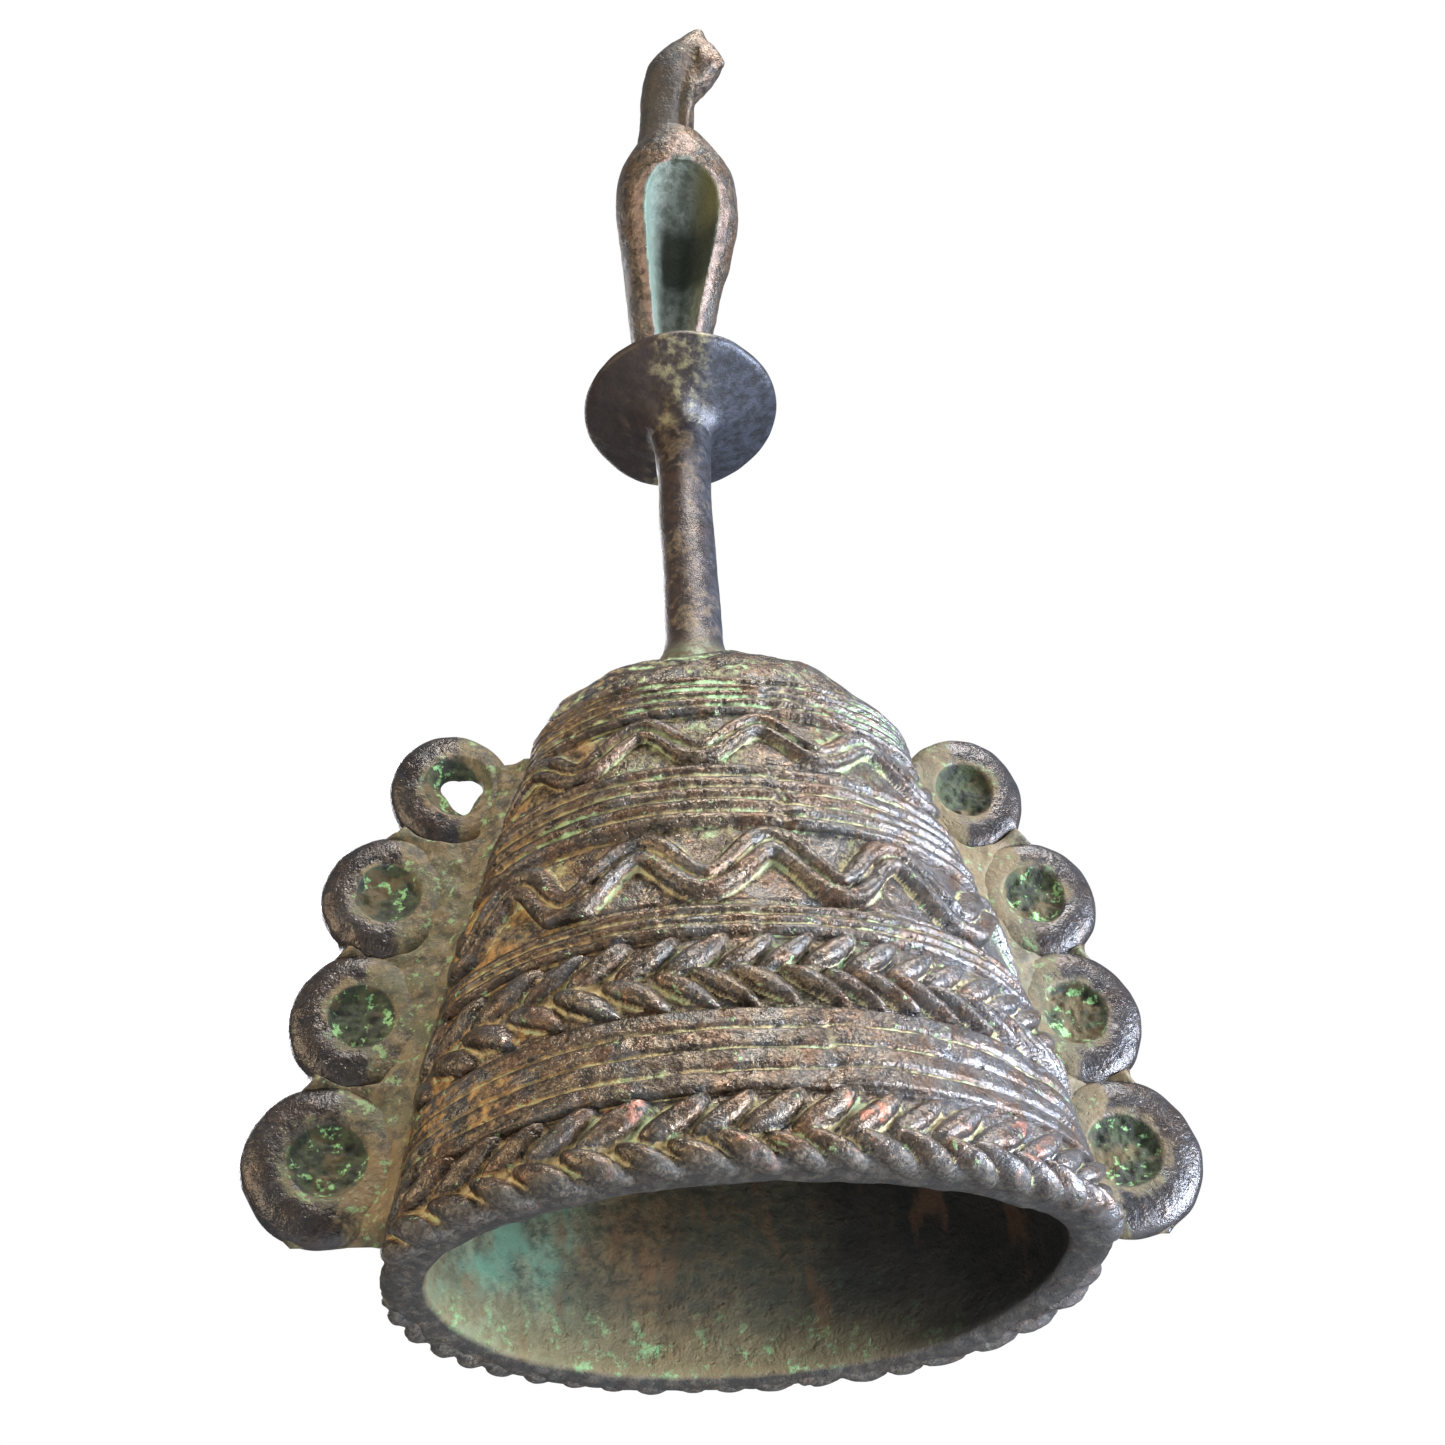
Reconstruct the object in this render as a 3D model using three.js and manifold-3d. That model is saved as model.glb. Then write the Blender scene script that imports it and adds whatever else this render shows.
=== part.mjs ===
// Ritual hand bell in cast bronze: an oval bell with lobed side flanges, wound and plaited
// bands, a rod handle with a guard disc, a hollow bird finial and a hanging clapper.
// Millimetres. +Z runs up the handle, the mouth rests on z = 0 and the front faces -Y.
import * as THREE from 'three';
import { mergeVertices } from 'three/addons/utils/BufferGeometryUtils.js';
import Module from 'manifold-3d';

const wasm = await Module();
wasm.setup();

// Bell
const MOUTH_HALF_WIDTH = 56.8;
const MOUTH_HALF_DEPTH = 36.5;
const SHOULDER_HEIGHT = 98;
const SHOULDER_HALF_WIDTH = 34.8;
const SHOULDER_HALF_DEPTH = 19.3;
const SIDE_BELLY = 2.2;
const CROWN_RISE = 26.5;
const WALL = 5;
const LIP_EXTRA = 2.6;
const LIP_EXTRA_HEIGHT = 22;
const LIP_RISE = 2.4;
const LIP_FLAT_SHARE = 0.6;
const BAND_DROOP = 4;
const GAP = 0.3;
const BAND_GAP = 0.5;

// Relief bands, as heights on the bell
const CROWN_CORDS = [98.6, 107.2];
const UPPER_ZIGZAG = [86.4, 96.6];
const MIDDLE_CORDS = [70.2, 84.2];
const LOWER_ZIGZAG = [54.4, 67.6];
const WAIST_CORDS = [45.9, 51.6];
const UPPER_PLAIT = [31.0, 45.0];
const LOWER_CORDS = [14.6, 30.2];
const LIP_PLAIT = [0.9, 13.8];
const UPPER_ZIGZAG_PEAKS = 5;
const LOWER_ZIGZAG_PEAKS = 6;

// Flanges and their lobes, from the shoulder down to the mouth
const FLANGE_THICKNESS = 5;
const LOBE_THICKNESS = 5.6;
const SPINE_WIDTH = 2.4;
const FLANGE_FOOT = 8.5;
const FLANGE_TOP = 106;
const LOBES = [
  { reach: 45.6, height: 95.6, halfWidth: 10.8, halfHeight: 12.8, holeWidth: 4.0, holeHeight: 5.8 },
  { reach: 55.4, height: 72.6, halfWidth: 11.2, halfHeight: 12.6, holeWidth: 5.2, holeHeight: 6.1 },
  { reach: 58.8, height: 48.4, halfWidth: 11.8, halfHeight: 13.2, holeWidth: 4.8, holeHeight: 6.2 },
  { reach: 62.6, height: 22.2, halfWidth: 13.4, halfHeight: 14.2, holeWidth: 5.8, holeHeight: 7.0 },
];
const DIMPLE_DEPTH = 2.1;
const OPEN_LOBE = 'ring_left_1';

// Handle and guard disc
const HANDLE_LEAN = 1.1;
const ROD_RADIUS = 5.4;
const ROD_FOOT_RADIUS = 7;
const ROD_TOP = 187.2;
const DISC_RADIUS = 19.2;
const DISC_TOP = 197;
const DISC_RIM = 3.2;
const DISC_HUB_RADIUS = 6.4;

// Bird finial
const BIRD_LEAN = 24;
const BIRD_LENGTH = 62;
const BIRD_HALF_WIDTH = 13;
const BIRD_DEPTH_SHARE = 0.86;
const NECK_LENGTH = 18;
const HEAD_TURN = 62;
const HEAD_RADIUS = 5.6;
const BEAK_LENGTH = 7;

// Clapper
const STAPLE_HEIGHT = 110;
const STAPLE_HALF_WIDTH = 5.5;
const STAPLE_WIRE = 1.5;
const LINK_WIRE = 1.3;
const LINK_SPAN = 9.1;
const EYE_WIRE = 1.4;
const STRIKER_HEIGHT = 33;
const STRIKER_RADIUS = 7.5;

const group = new THREE.Group();
group.name = 'temple_bell';

function metal(colour, roughness) {
  return new THREE.MeshStandardMaterial({ color: colour, metalness: 0.85, roughness });
}

function add(name, geometry, colour = 0x5b5138, roughness = 0.55) {
  const mesh = new THREE.Mesh(geometry, metal(colour, roughness));
  mesh.name = name;
  group.add(mesh);
  return mesh;
}

function toSolid(geometry) {
  const bare = new THREE.BufferGeometry();
  bare.setAttribute('position', geometry.getAttribute('position').clone());
  if (geometry.index) bare.setIndex(geometry.index.clone());
  const joined = mergeVertices(bare, 1e-4);
  return new wasm.Manifold(new wasm.Mesh({
    numProp: 3,
    vertProperties: new Float32Array(joined.getAttribute('position').array),
    triVerts: new Uint32Array(joined.index.array),
  }));
}

function fromSolid(solid) {
  const mesh = solid.getMesh();
  const geometry = new THREE.BufferGeometry();
  geometry.setAttribute('position', new THREE.BufferAttribute(new Float32Array(mesh.vertProperties), 3));
  geometry.setIndex(new THREE.BufferAttribute(new Uint32Array(mesh.triVerts), 1));
  geometry.computeVertexNormals();
  return geometry;
}

function cut(base, ...tools) {
  return tools.reduce((left, tool) => wasm.Manifold.difference(left, toSolid(tool)), toSolid(base));
}

function join(...pieces) {
  return pieces.map(toSolid).reduce((left, right) => wasm.Manifold.union(left, right));
}

// Outline of the bell: half width and half depth of the oval at each height
function crownShare(z) {
  const share = Math.max(0, (z - SHOULDER_HEIGHT) / CROWN_RISE);
  return Math.sqrt(Math.max(0, 1 - share * share));
}

function halfWidth(z) {
  const share = Math.min(1, Math.max(0, z / SHOULDER_HEIGHT));
  const straight = THREE.MathUtils.lerp(MOUTH_HALF_WIDTH, SHOULDER_HALF_WIDTH, share);
  return (straight + SIDE_BELLY * Math.sin(Math.PI * share)) * crownShare(z);
}

function halfDepth(z) {
  const share = Math.min(1, Math.max(0, z / SHOULDER_HEIGHT));
  return THREE.MathUtils.lerp(MOUTH_HALF_DEPTH, SHOULDER_HALF_DEPTH, share) * crownShare(z);
}

function depthShare(z) {
  const share = Math.min(1, Math.max(0, z / SHOULDER_HEIGHT));
  const width = THREE.MathUtils.lerp(MOUTH_HALF_WIDTH, SHOULDER_HALF_WIDTH, share);
  return THREE.MathUtils.lerp(MOUTH_HALF_DEPTH, SHOULDER_HALF_DEPTH, share)
    / (width + SIDE_BELLY * Math.sin(Math.PI * share));
}

// The wall thickens towards the lip
function wallAt(z) {
  const share = Math.max(0, 1 - z / LIP_EXTRA_HEIGHT);
  return WALL + LIP_EXTRA * share * share;
}

// The lip lifts a little at the two sides; the bands above it sag towards the flanges
function lipLift(sideways, z) {
  const past = Math.max(0, (Math.abs(sideways) - LIP_FLAT_SHARE) / (1 - LIP_FLAT_SHARE));
  return LIP_RISE * past * past * Math.max(0, 1 - z / 22);
}

function bandShift(sideways, z) {
  const sag = BAND_DROOP * Math.abs(sideways) ** 3 * Math.min(1, z / 26);
  return lipLift(sideways, z) - sag;
}

// Even steps along the oval instead of even angles
const ARC_STEPS = 400;
const arcTable = [0];
for (let i = 1; i <= ARC_STEPS; i += 1) {
  const angle = Math.PI * (i - 0.5) / ARC_STEPS;
  arcTable.push(arcTable[i - 1] + Math.hypot(Math.sin(angle), 0.6 * Math.cos(angle)));
}

function angleAt(share) {
  const wanted = THREE.MathUtils.clamp(share, 0, 1) * arcTable[ARC_STEPS];
  let i = 1;
  while (i < ARC_STEPS && arcTable[i] < wanted) i += 1;
  const part = (wanted - arcTable[i - 1]) / (arcTable[i] - arcTable[i - 1]);
  return Math.PI * (i - 1 + part) / ARC_STEPS;
}

// A point that stands out from the bell. Share 0 is the left flange and 1 the right one.
function onBell(share, z, out, side) {
  const angle = Math.PI + angleAt(share);
  const sideways = Math.cos(angle);
  const height = z + bandShift(sideways, z);
  const x = (halfWidth(height) + out) * sideways;
  const y = (halfDepth(height) + out) * Math.sin(angle);
  return new THREE.Vector3(side * x, side * y, height);
}

// One closed strip along the bell. Each section is a closed loop of [share, z, out] points.
function strip(sections, side) {
  const positions = [];
  const faces = [];
  const count = sections[0].length;
  for (const section of sections) {
    for (const [share, z, out] of section) positions.push(...onBell(share, z, out, side).toArray());
  }
  for (let i = 0; i < sections.length - 1; i += 1) {
    for (let j = 0; j < count; j += 1) {
      const next = (j + 1) % count;
      const corner = i * count + j;
      const beside = i * count + next;
      faces.push(corner, beside, corner + count, beside, beside + count, corner + count);
    }
  }
  const flat = sections[0].map(([, z, out]) => new THREE.Vector2(out, z));
  const caps = THREE.ShapeUtils.triangulateShape(flat, []);
  const last = (sections.length - 1) * count;
  const clockwise = THREE.ShapeUtils.isClockWise(flat);
  for (const [a, b, c] of caps) {
    faces.push(a, clockwise ? b : c, clockwise ? c : b);
    faces.push(last + a, last + (clockwise ? c : b), last + (clockwise ? b : c));
  }
  const geometry = new THREE.BufferGeometry();
  geometry.setAttribute('position', new THREE.Float32BufferAttribute(positions, 3));
  geometry.setIndex(faces);
  geometry.computeVertexNormals();
  return geometry;
}

// How far along the bell a band has to start to clear the flange
function endShare(z) {
  return 0.25 * (LOBE_THICKNESS / 2 + 0.7) / halfDepth(z);
}

const STRIP_STEPS = 24;

// Cords wound round the bell: one ridge per cord
function cordSections([bottom, top], cords, valley, peak) {
  const sections = [];
  const start = endShare(top);
  for (let i = 0; i <= STRIP_STEPS; i += 1) {
    const share = THREE.MathUtils.lerp(start, 1 - start, i / STRIP_STEPS);
    const loop = [[share, bottom, BAND_GAP]];
    for (let cord = 0; cord < cords; cord += 1) {
      const low = THREE.MathUtils.lerp(bottom, top, cord / cords);
      const step = (top - bottom) / cords;
      if (cord > 0) loop.push([share, low, valley]);
      loop.push([share, low + step * 0.5, peak]);
    }
    loop.push([share, top, BAND_GAP]);
    sections.push(loop.reverse());
  }
  return sections;
}

// A plait of two rows of slanting stitches that meet in the middle
function plaitSections([bottom, top], stitches, peak) {
  const sections = [];
  const start = endShare(top) + 0.012;
  const middle = (bottom + top) / 2;
  const count = stitches * 2;
  for (let i = 0; i <= count; i += 1) {
    const share = THREE.MathUtils.lerp(start, 1 - start, i / count);
    const raised = i % 2 === 0 ? 0.35 : 1;
    const ease = Math.min(1, i / 2, (count - i) / 2);
    const lean = 0.012 * ease;
    const loop = [
      [share - lean, bottom, BAND_GAP],
      [share - lean, bottom + 0.4, 0.8],
      [share - lean * 0.3, (bottom + middle) / 2, peak * raised],
      [share + lean, middle, 0.8],
      [share - lean * 0.3, (top + middle) / 2, peak * raised],
      [share - lean, top - 0.4, 0.8],
      [share - lean, top, BAND_GAP],
    ];
    sections.push(loop.reverse());
  }
  return sections;
}

// A doubled cord laid in a zigzag
function zigzagSections([bottom, top], peaks) {
  const halfBand = 2.1;
  const start = endShare(top) + 0.02;
  const legs = peaks * 2;
  const run = 110 * (1 - 2 * start) / legs;
  const slope = Math.atan2(top - bottom - 2 * halfBand, run);
  const sections = [];
  const low = bottom + halfBand;
  const high = top - halfBand;
  const stepsPerLeg = 2;
  for (let i = 0; i <= legs * stepsPerLeg; i += 1) {
    const leg = Math.floor(i / stepsPerLeg);
    const part = (i % stepsPerLeg) / stepsPerLeg;
    const rising = leg % 2 === 0;
    const z = rising ? THREE.MathUtils.lerp(low, high, part) : THREE.MathUtils.lerp(high, low, part);
    const share = THREE.MathUtils.lerp(start, 1 - start, i / (legs * stepsPerLeg));
    const across = halfBand / Math.cos(slope);
    const loop = [
      [share, z - across, BAND_GAP],
      [share, z - across, 0.8],
      [share, z - across * 0.5, 1.7],
      [share, z, 0.8],
      [share, z + across * 0.5, 1.7],
      [share, z + across, 0.8],
      [share, z + across, BAND_GAP],
    ];
    sections.push(loop.reverse());
  }
  return sections;
}

// Turned pieces stand on +Z
function turned(profile, segments) {
  const points = profile.map(([radius, height]) => new THREE.Vector2(radius, height));
  const geometry = new THREE.LatheGeometry(points, segments);
  geometry.rotateX(Math.PI / 2);
  return geometry;
}

// The hollow bell itself: a turned profile pressed into an oval
function bellGeometry() {
  const outer = [];
  for (const z of [0, 6, 22, 45, 70, 98]) outer.push([halfWidth(z), z]);
  for (const share of [0.32, 0.6, 0.82, 0.96]) {
    const z = SHOULDER_HEIGHT + CROWN_RISE * share;
    outer.push([halfWidth(z), z]);
  }
  const crown = SHOULDER_HEIGHT + CROWN_RISE;
  const inner = [];
  for (const z of [0, 4, 9, 15, 22, 45, 70, 95]) inner.push([halfWidth(z) - wallAt(z), z]);
  const innerWidth = halfWidth(95) - WALL;
  const innerRise = crown - WALL - 95;
  for (const share of [0.4, 0.7, 0.92]) {
    inner.push([innerWidth * Math.sqrt(1 - share * share), 95 + innerRise * share]);
  }
  const profile = [[0, crown - WALL], ...inner.reverse(), ...outer, [0, crown]];
  const geometry = turned(profile, 64);
  const position = geometry.getAttribute('position');
  for (let i = 0; i < position.count; i += 1) {
    const x = position.getX(i);
    const z = position.getZ(i);
    const reach = Math.hypot(x, position.getY(i)) || 1;
    const height = z + lipLift(x / reach, z);
    const shrink = z < SHOULDER_HEIGHT ? halfWidth(height) / halfWidth(z) : 1;
    position.setX(i, x * shrink);
    position.setY(i, position.getY(i) * depthShare(z) * shrink);
    position.setZ(i, height);
  }
  return geometry;
}

function ovalShape(reach, height, width, rise) {
  const shape = new THREE.Shape();
  shape.absellipse(reach, height, width, rise, 0, Math.PI * 2, false, 0);
  return shape;
}

// A plate in the XZ plane, centred on y = 0
function plate(shape, thickness, bevel, curveSegments) {
  const geometry = new THREE.ExtrudeGeometry(shape, {
    depth: thickness - 2 * bevel,
    bevelEnabled: bevel > 0,
    bevelThickness: bevel,
    bevelSize: bevel,
    bevelOffset: -bevel,
    bevelSegments: 1,
    curveSegments,
  });
  geometry.translate(0, 0, bevel - thickness / 2);
  geometry.rotateX(Math.PI / 2);
  return geometry;
}

// The strip of flange beside the bell, from the bell's side out by a given width
function sideShape(from, width, bottom, top) {
  const shape = new THREE.Shape();
  const steps = 9;
  for (let i = 0; i <= steps; i += 1) {
    const z = THREE.MathUtils.lerp(bottom, top, i / steps);
    const x = halfWidth(z) + from;
    if (i === 0) shape.moveTo(x, z);
    else shape.lineTo(x, z);
  }
  for (let i = steps; i >= 0; i -= 1) {
    const z = THREE.MathUtils.lerp(bottom, top, i / steps);
    shape.lineTo(halfWidth(z) + from + width, z);
  }
  return shape;
}

function insideShape(reach) {
  const shape = new THREE.Shape();
  shape.moveTo(0, -5);
  const steps = 24;
  for (let i = 0; i <= steps; i += 1) {
    const z = THREE.MathUtils.lerp(-5, SHOULDER_HEIGHT + CROWN_RISE * 0.8, i / steps);
    shape.lineTo(halfWidth(z) + reach, z);
  }
  shape.lineTo(0, SHOULDER_HEIGHT + CROWN_RISE * 0.8);
  return shape;
}

function mirrored(solid, side) {
  return side < 0 ? solid.mirror([1, 0, 0]) : solid;
}

function addFlange(sideName, side) {
  const grown = LOBES.map((lobe) => plate(
    ovalShape(lobe.reach, lobe.height, lobe.halfWidth + GAP, lobe.halfHeight + GAP),
    20, 0, 14,
  ));
  const spine = plate(sideShape(GAP, SPINE_WIDTH, FLANGE_FOOT, FLANGE_TOP), FLANGE_THICKNESS, 0, 4);
  const web = plate(sideShape(GAP, 11.5, FLANGE_FOOT + 3, FLANGE_TOP - 12), FLANGE_THICKNESS, 0, 4);
  const body = plate(insideShape(GAP), 30, 0, 4);
  const fill = cut(web, ...grown);
  const whole = wasm.Manifold.union(toSolid(spine), fill).subtract(toSolid(body));
  const pieces = whole.decompose().sort((a, b) => b.volume() - a.volume());
  add(`${sideName}_flange`, fromSolid(mirrored(pieces[0], side)), 0x5a5a3c, 0.65);

  const limit = plate(insideShape(GAP + SPINE_WIDTH + GAP), 30, 0, 4);
  LOBES.forEach((lobe, index) => {
    const name = `ring_${sideName}_${index + 1}`;
    const disc = plate(
      ovalShape(lobe.reach, lobe.height, lobe.halfWidth, lobe.halfHeight),
      LOBE_THICKNESS, 1.3, 11,
    );
    let solid = cut(disc, limit);
    if (index > 0) solid = solid.subtract(toSolid(grown[index - 1]));
    if (name === OPEN_LOBE) {
      const hole = ovalShape(lobe.reach, lobe.height, lobe.holeWidth, lobe.holeHeight);
      solid = solid.subtract(toSolid(plate(hole, 20, 0, 10)));
    } else {
      for (const face of [-1, 1]) {
        const dimple = new THREE.SphereGeometry(1, 12, 6);
        dimple.scale(lobe.holeWidth * 1.15, DIMPLE_DEPTH, lobe.holeHeight * 1.15);
        dimple.translate(lobe.reach, face * LOBE_THICKNESS / 2, lobe.height);
        solid = solid.subtract(toSolid(dimple));
      }
    }
    add(name, fromSolid(mirrored(solid, side)), 0x66603c, 0.6);
  });
}

// Everything on the handle leans together about the foot of the rod
function leaned(geometry) {
  geometry.translate(0, 0, -SHOULDER_HEIGHT - CROWN_RISE);
  geometry.rotateY(THREE.MathUtils.degToRad(HANDLE_LEAN));
  geometry.translate(0, 0, SHOULDER_HEIGHT + CROWN_RISE);
  return geometry;
}

add('bell_shell', bellGeometry(), 0x554c34, 0.6);

for (const [place, side] of [['front', 1], ['back', -1]]) {
  add(`${place}_crown_cords`, strip(cordSections(CROWN_CORDS, 4, 0.7, 1.5), side));
  add(`${place}_upper_zigzag`, strip(zigzagSections(UPPER_ZIGZAG, UPPER_ZIGZAG_PEAKS), side));
  add(`${place}_middle_cords`, strip(cordSections(MIDDLE_CORDS, 5, 0.8, 1.8), side));
  add(`${place}_lower_zigzag`, strip(zigzagSections(LOWER_ZIGZAG, LOWER_ZIGZAG_PEAKS), side));
  add(`${place}_waist_cords`, strip(cordSections(WAIST_CORDS, 2, 0.7, 1.5), side));
  add(`${place}_upper_plait`, strip(plaitSections(UPPER_PLAIT, 15, 2.2), side));
  add(`${place}_lower_cords`, strip(cordSections(LOWER_CORDS, 5, 0.9, 1.7), side));
  add(`${place}_lip_plait`, strip(plaitSections(LIP_PLAIT, 13, 2.6), side), 0x7a5a3a, 0.55);
}

addFlange('left', -1);
addFlange('right', 1);

// Rod: its foot is shaped to the crown, and its top flares towards the disc
const crownTop = SHOULDER_HEIGHT + CROWN_RISE;
const rod = leaned(turned([
  [0, crownTop - 6],
  [ROD_FOOT_RADIUS + 1, crownTop - 6],
  [ROD_FOOT_RADIUS, crownTop + 1],
  [ROD_RADIUS, crownTop + 5],
  [ROD_RADIUS, ROD_TOP - 6],
  [ROD_RADIUS + 0.4, ROD_TOP],
  [0, ROD_TOP],
], 24));
const grownBell = bellGeometry();
grownBell.scale(1.01, 1.02, (crownTop + GAP) / crownTop);
const crownPlug = turned([[0, 60], [30, 60], [30, 116], [20, 120], [0, 120]], 24);
crownPlug.scale(1, 0.5, 1);
add('handle_rod', fromSolid(cut(rod, grownBell, crownPlug)), 0x6a6252, 0.45);

const disc = turned([
  [0, ROD_TOP + GAP],
  [DISC_HUB_RADIUS, ROD_TOP + GAP],
  [DISC_HUB_RADIUS + 3, ROD_TOP + 3],
  [DISC_RADIUS - 1.2, DISC_TOP - DISC_RIM],
  [DISC_RADIUS, DISC_TOP - DISC_RIM + 1],
  [DISC_RADIUS, DISC_TOP - 1],
  [DISC_RADIUS - 1.2, DISC_TOP],
  [0, DISC_TOP],
], 32);
add('guard_disc', leaned(disc), 0x74624c, 0.5);

// Bird: an upright pod, hollow and open at the breast, with a neck and a turned head
const birdProfile = [
  [0, 0], [6.8, 0], [7.4, 8], [8.6, 18], [10.6, 29], [12.3, 38], [BIRD_HALF_WIDTH, 46],
  [12.4, 52], [10.2, 57.5], [7, BIRD_LENGTH], [0, BIRD_LENGTH],
];
function posedBird(geometry) {
  geometry.rotateX(THREE.MathUtils.degToRad(BIRD_LEAN));
  geometry.translate(0, 1.5, DISC_TOP + GAP);
  return leaned(geometry);
}
const pod = turned(birdProfile, 20);
pod.scale(1, BIRD_DEPTH_SHARE, 1);
const foot = turned([[0, 0], [6.6, 0], [6.4, 4], [0, 4]], 20);
const tail = new THREE.SphereGeometry(1, 10, 6);
tail.scale(4.6, 3.2, 15);
tail.rotateX(THREE.MathUtils.degToRad(14));
tail.translate(0, 9.2, 19);
const hollow = turned([
  [0, 1.2], [2.8, 2.4], [3.6, 10], [4.6, 18], [6.2, 28], [7.3, 37], [7.2, 46], [4.8, 52.5], [0, 55.5],
], 16);
hollow.scale(1, 1.1, 1);
hollow.translate(0, -6.2, 0);
const lowerLimit = turned([[0, -20], [60, -20], [60, 0], [0, 0]], 8);
lowerLimit.translate(0, 0, DISC_TOP + GAP);
const posedPod = cut(
  fromSolid(join(posedBird(pod), posedBird(tail), leaned(foot.translate(0, 0, DISC_TOP + GAP)))),
  posedBird(hollow),
  leaned(lowerLimit),
);
add('bird_body', fromSolid(posedPod), 0x5d503e, 0.5);

const neck = turned([
  [0, BIRD_LENGTH + GAP], [6.2, BIRD_LENGTH + GAP], [5.2, BIRD_LENGTH + 7],
  [4.8, BIRD_LENGTH + NECK_LENGTH - 4], [0, BIRD_LENGTH + NECK_LENGTH],
], 14);
const head = new THREE.SphereGeometry(HEAD_RADIUS, 14, 8);
head.scale(1, 1.2, 0.95);
const beak = new THREE.ConeGeometry(3.1, BEAK_LENGTH, 10);
beak.rotateX(Math.PI);
beak.translate(0, -5.2 - BEAK_LENGTH / 2, -0.8);
for (const piece of [head, beak]) {
  piece.rotateZ(THREE.MathUtils.degToRad(HEAD_TURN));
  piece.translate(0, 0, BIRD_LENGTH + NECK_LENGTH - 1);
}
add('bird_head', fromSolid(join(posedBird(neck), posedBird(head), posedBird(beak))), 0x5d503e, 0.5);

// Bent wire with a round section
function bentRod(path, radius, segments) {
  const section = new THREE.Shape();
  section.absarc(0, 0, radius, 0, Math.PI * 2, false);
  return new THREE.ExtrudeGeometry(section, { steps: segments, extrudePath: path, curveSegments: 4 });
}

// Staple: a U of wire whose two feet meet the inside of the crown
const innerCrown = crownTop - WALL;
const staple = new THREE.CurvePath();
const bend = 2.5;
staple.add(new THREE.LineCurve3(
  new THREE.Vector3(-STAPLE_HALF_WIDTH, 0, innerCrown - 1.2),
  new THREE.Vector3(-STAPLE_HALF_WIDTH, 0, STAPLE_HEIGHT + bend),
));
staple.add(new THREE.QuadraticBezierCurve3(
  new THREE.Vector3(-STAPLE_HALF_WIDTH, 0, STAPLE_HEIGHT + bend),
  new THREE.Vector3(-STAPLE_HALF_WIDTH, 0, STAPLE_HEIGHT),
  new THREE.Vector3(-STAPLE_HALF_WIDTH + bend, 0, STAPLE_HEIGHT),
));
staple.add(new THREE.LineCurve3(
  new THREE.Vector3(-STAPLE_HALF_WIDTH + bend, 0, STAPLE_HEIGHT),
  new THREE.Vector3(STAPLE_HALF_WIDTH - bend, 0, STAPLE_HEIGHT),
));
staple.add(new THREE.QuadraticBezierCurve3(
  new THREE.Vector3(STAPLE_HALF_WIDTH - bend, 0, STAPLE_HEIGHT),
  new THREE.Vector3(STAPLE_HALF_WIDTH, 0, STAPLE_HEIGHT),
  new THREE.Vector3(STAPLE_HALF_WIDTH, 0, STAPLE_HEIGHT + bend),
));
staple.add(new THREE.LineCurve3(
  new THREE.Vector3(STAPLE_HALF_WIDTH, 0, STAPLE_HEIGHT + bend),
  new THREE.Vector3(STAPLE_HALF_WIDTH, 0, innerCrown - 1.2),
));
add('clapper_staple', bentRod(staple, STAPLE_WIRE, 18), 0x4c4a46, 0.6);

// Link: a long loop that hangs on the staple, in the YZ plane
class Loop extends THREE.Curve {
  getPoint(t) {
    const radius = STAPLE_WIRE + GAP + LINK_WIRE;
    const straight = LINK_SPAN - radius;
    const length = 2 * straight + 2 * Math.PI * radius;
    let run = (t % 1) * length;
    if (run < straight) return new THREE.Vector3(0, radius, -run);
    run -= straight;
    if (run < Math.PI * radius) {
      const angle = run / radius;
      return new THREE.Vector3(0, radius * Math.cos(angle), -straight - radius * Math.sin(angle));
    }
    run -= Math.PI * radius;
    if (run < straight) return new THREE.Vector3(0, -radius, -straight + run);
    run -= straight;
    const angle = run / radius;
    return new THREE.Vector3(0, -radius * Math.cos(angle), radius * Math.sin(angle));
  }
}

function closedWire(path, radius, steps, sides) {
  const positions = [];
  const faces = [];
  for (let i = 0; i < steps; i += 1) {
    const centre = path.getPoint(i / steps);
    const ahead = path.getPoint((i + 0.01) / steps);
    const behind = path.getPoint((i + steps - 0.01) / steps);
    const along = ahead.sub(behind).normalize();
    const acrossLoop = new THREE.Vector3(1, 0, 0);
    const outward = new THREE.Vector3().crossVectors(along, acrossLoop);
    for (let j = 0; j < sides; j += 1) {
      const angle = 2 * Math.PI * j / sides;
      const point = centre.clone();
      point.addScaledVector(acrossLoop, radius * Math.cos(angle));
      point.addScaledVector(outward, radius * Math.sin(angle));
      positions.push(...point.toArray());
      const next = (j + 1) % sides;
      const after = (i + 1) % steps;
      const corner = i * sides + j;
      const side = i * sides + next;
      faces.push(corner, side, after * sides + j, side, after * sides + next, after * sides + j);
    }
  }
  const geometry = new THREE.BufferGeometry();
  geometry.setAttribute('position', new THREE.Float32BufferAttribute(positions, 3));
  geometry.setIndex(faces);
  geometry.computeVertexNormals();
  return geometry;
}

const link = closedWire(new Loop(), LINK_WIRE, 24, 7);
link.translate(0, 0, STAPLE_HEIGHT);
add('clapper_link', link, 0x4c4a46, 0.6);

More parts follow.
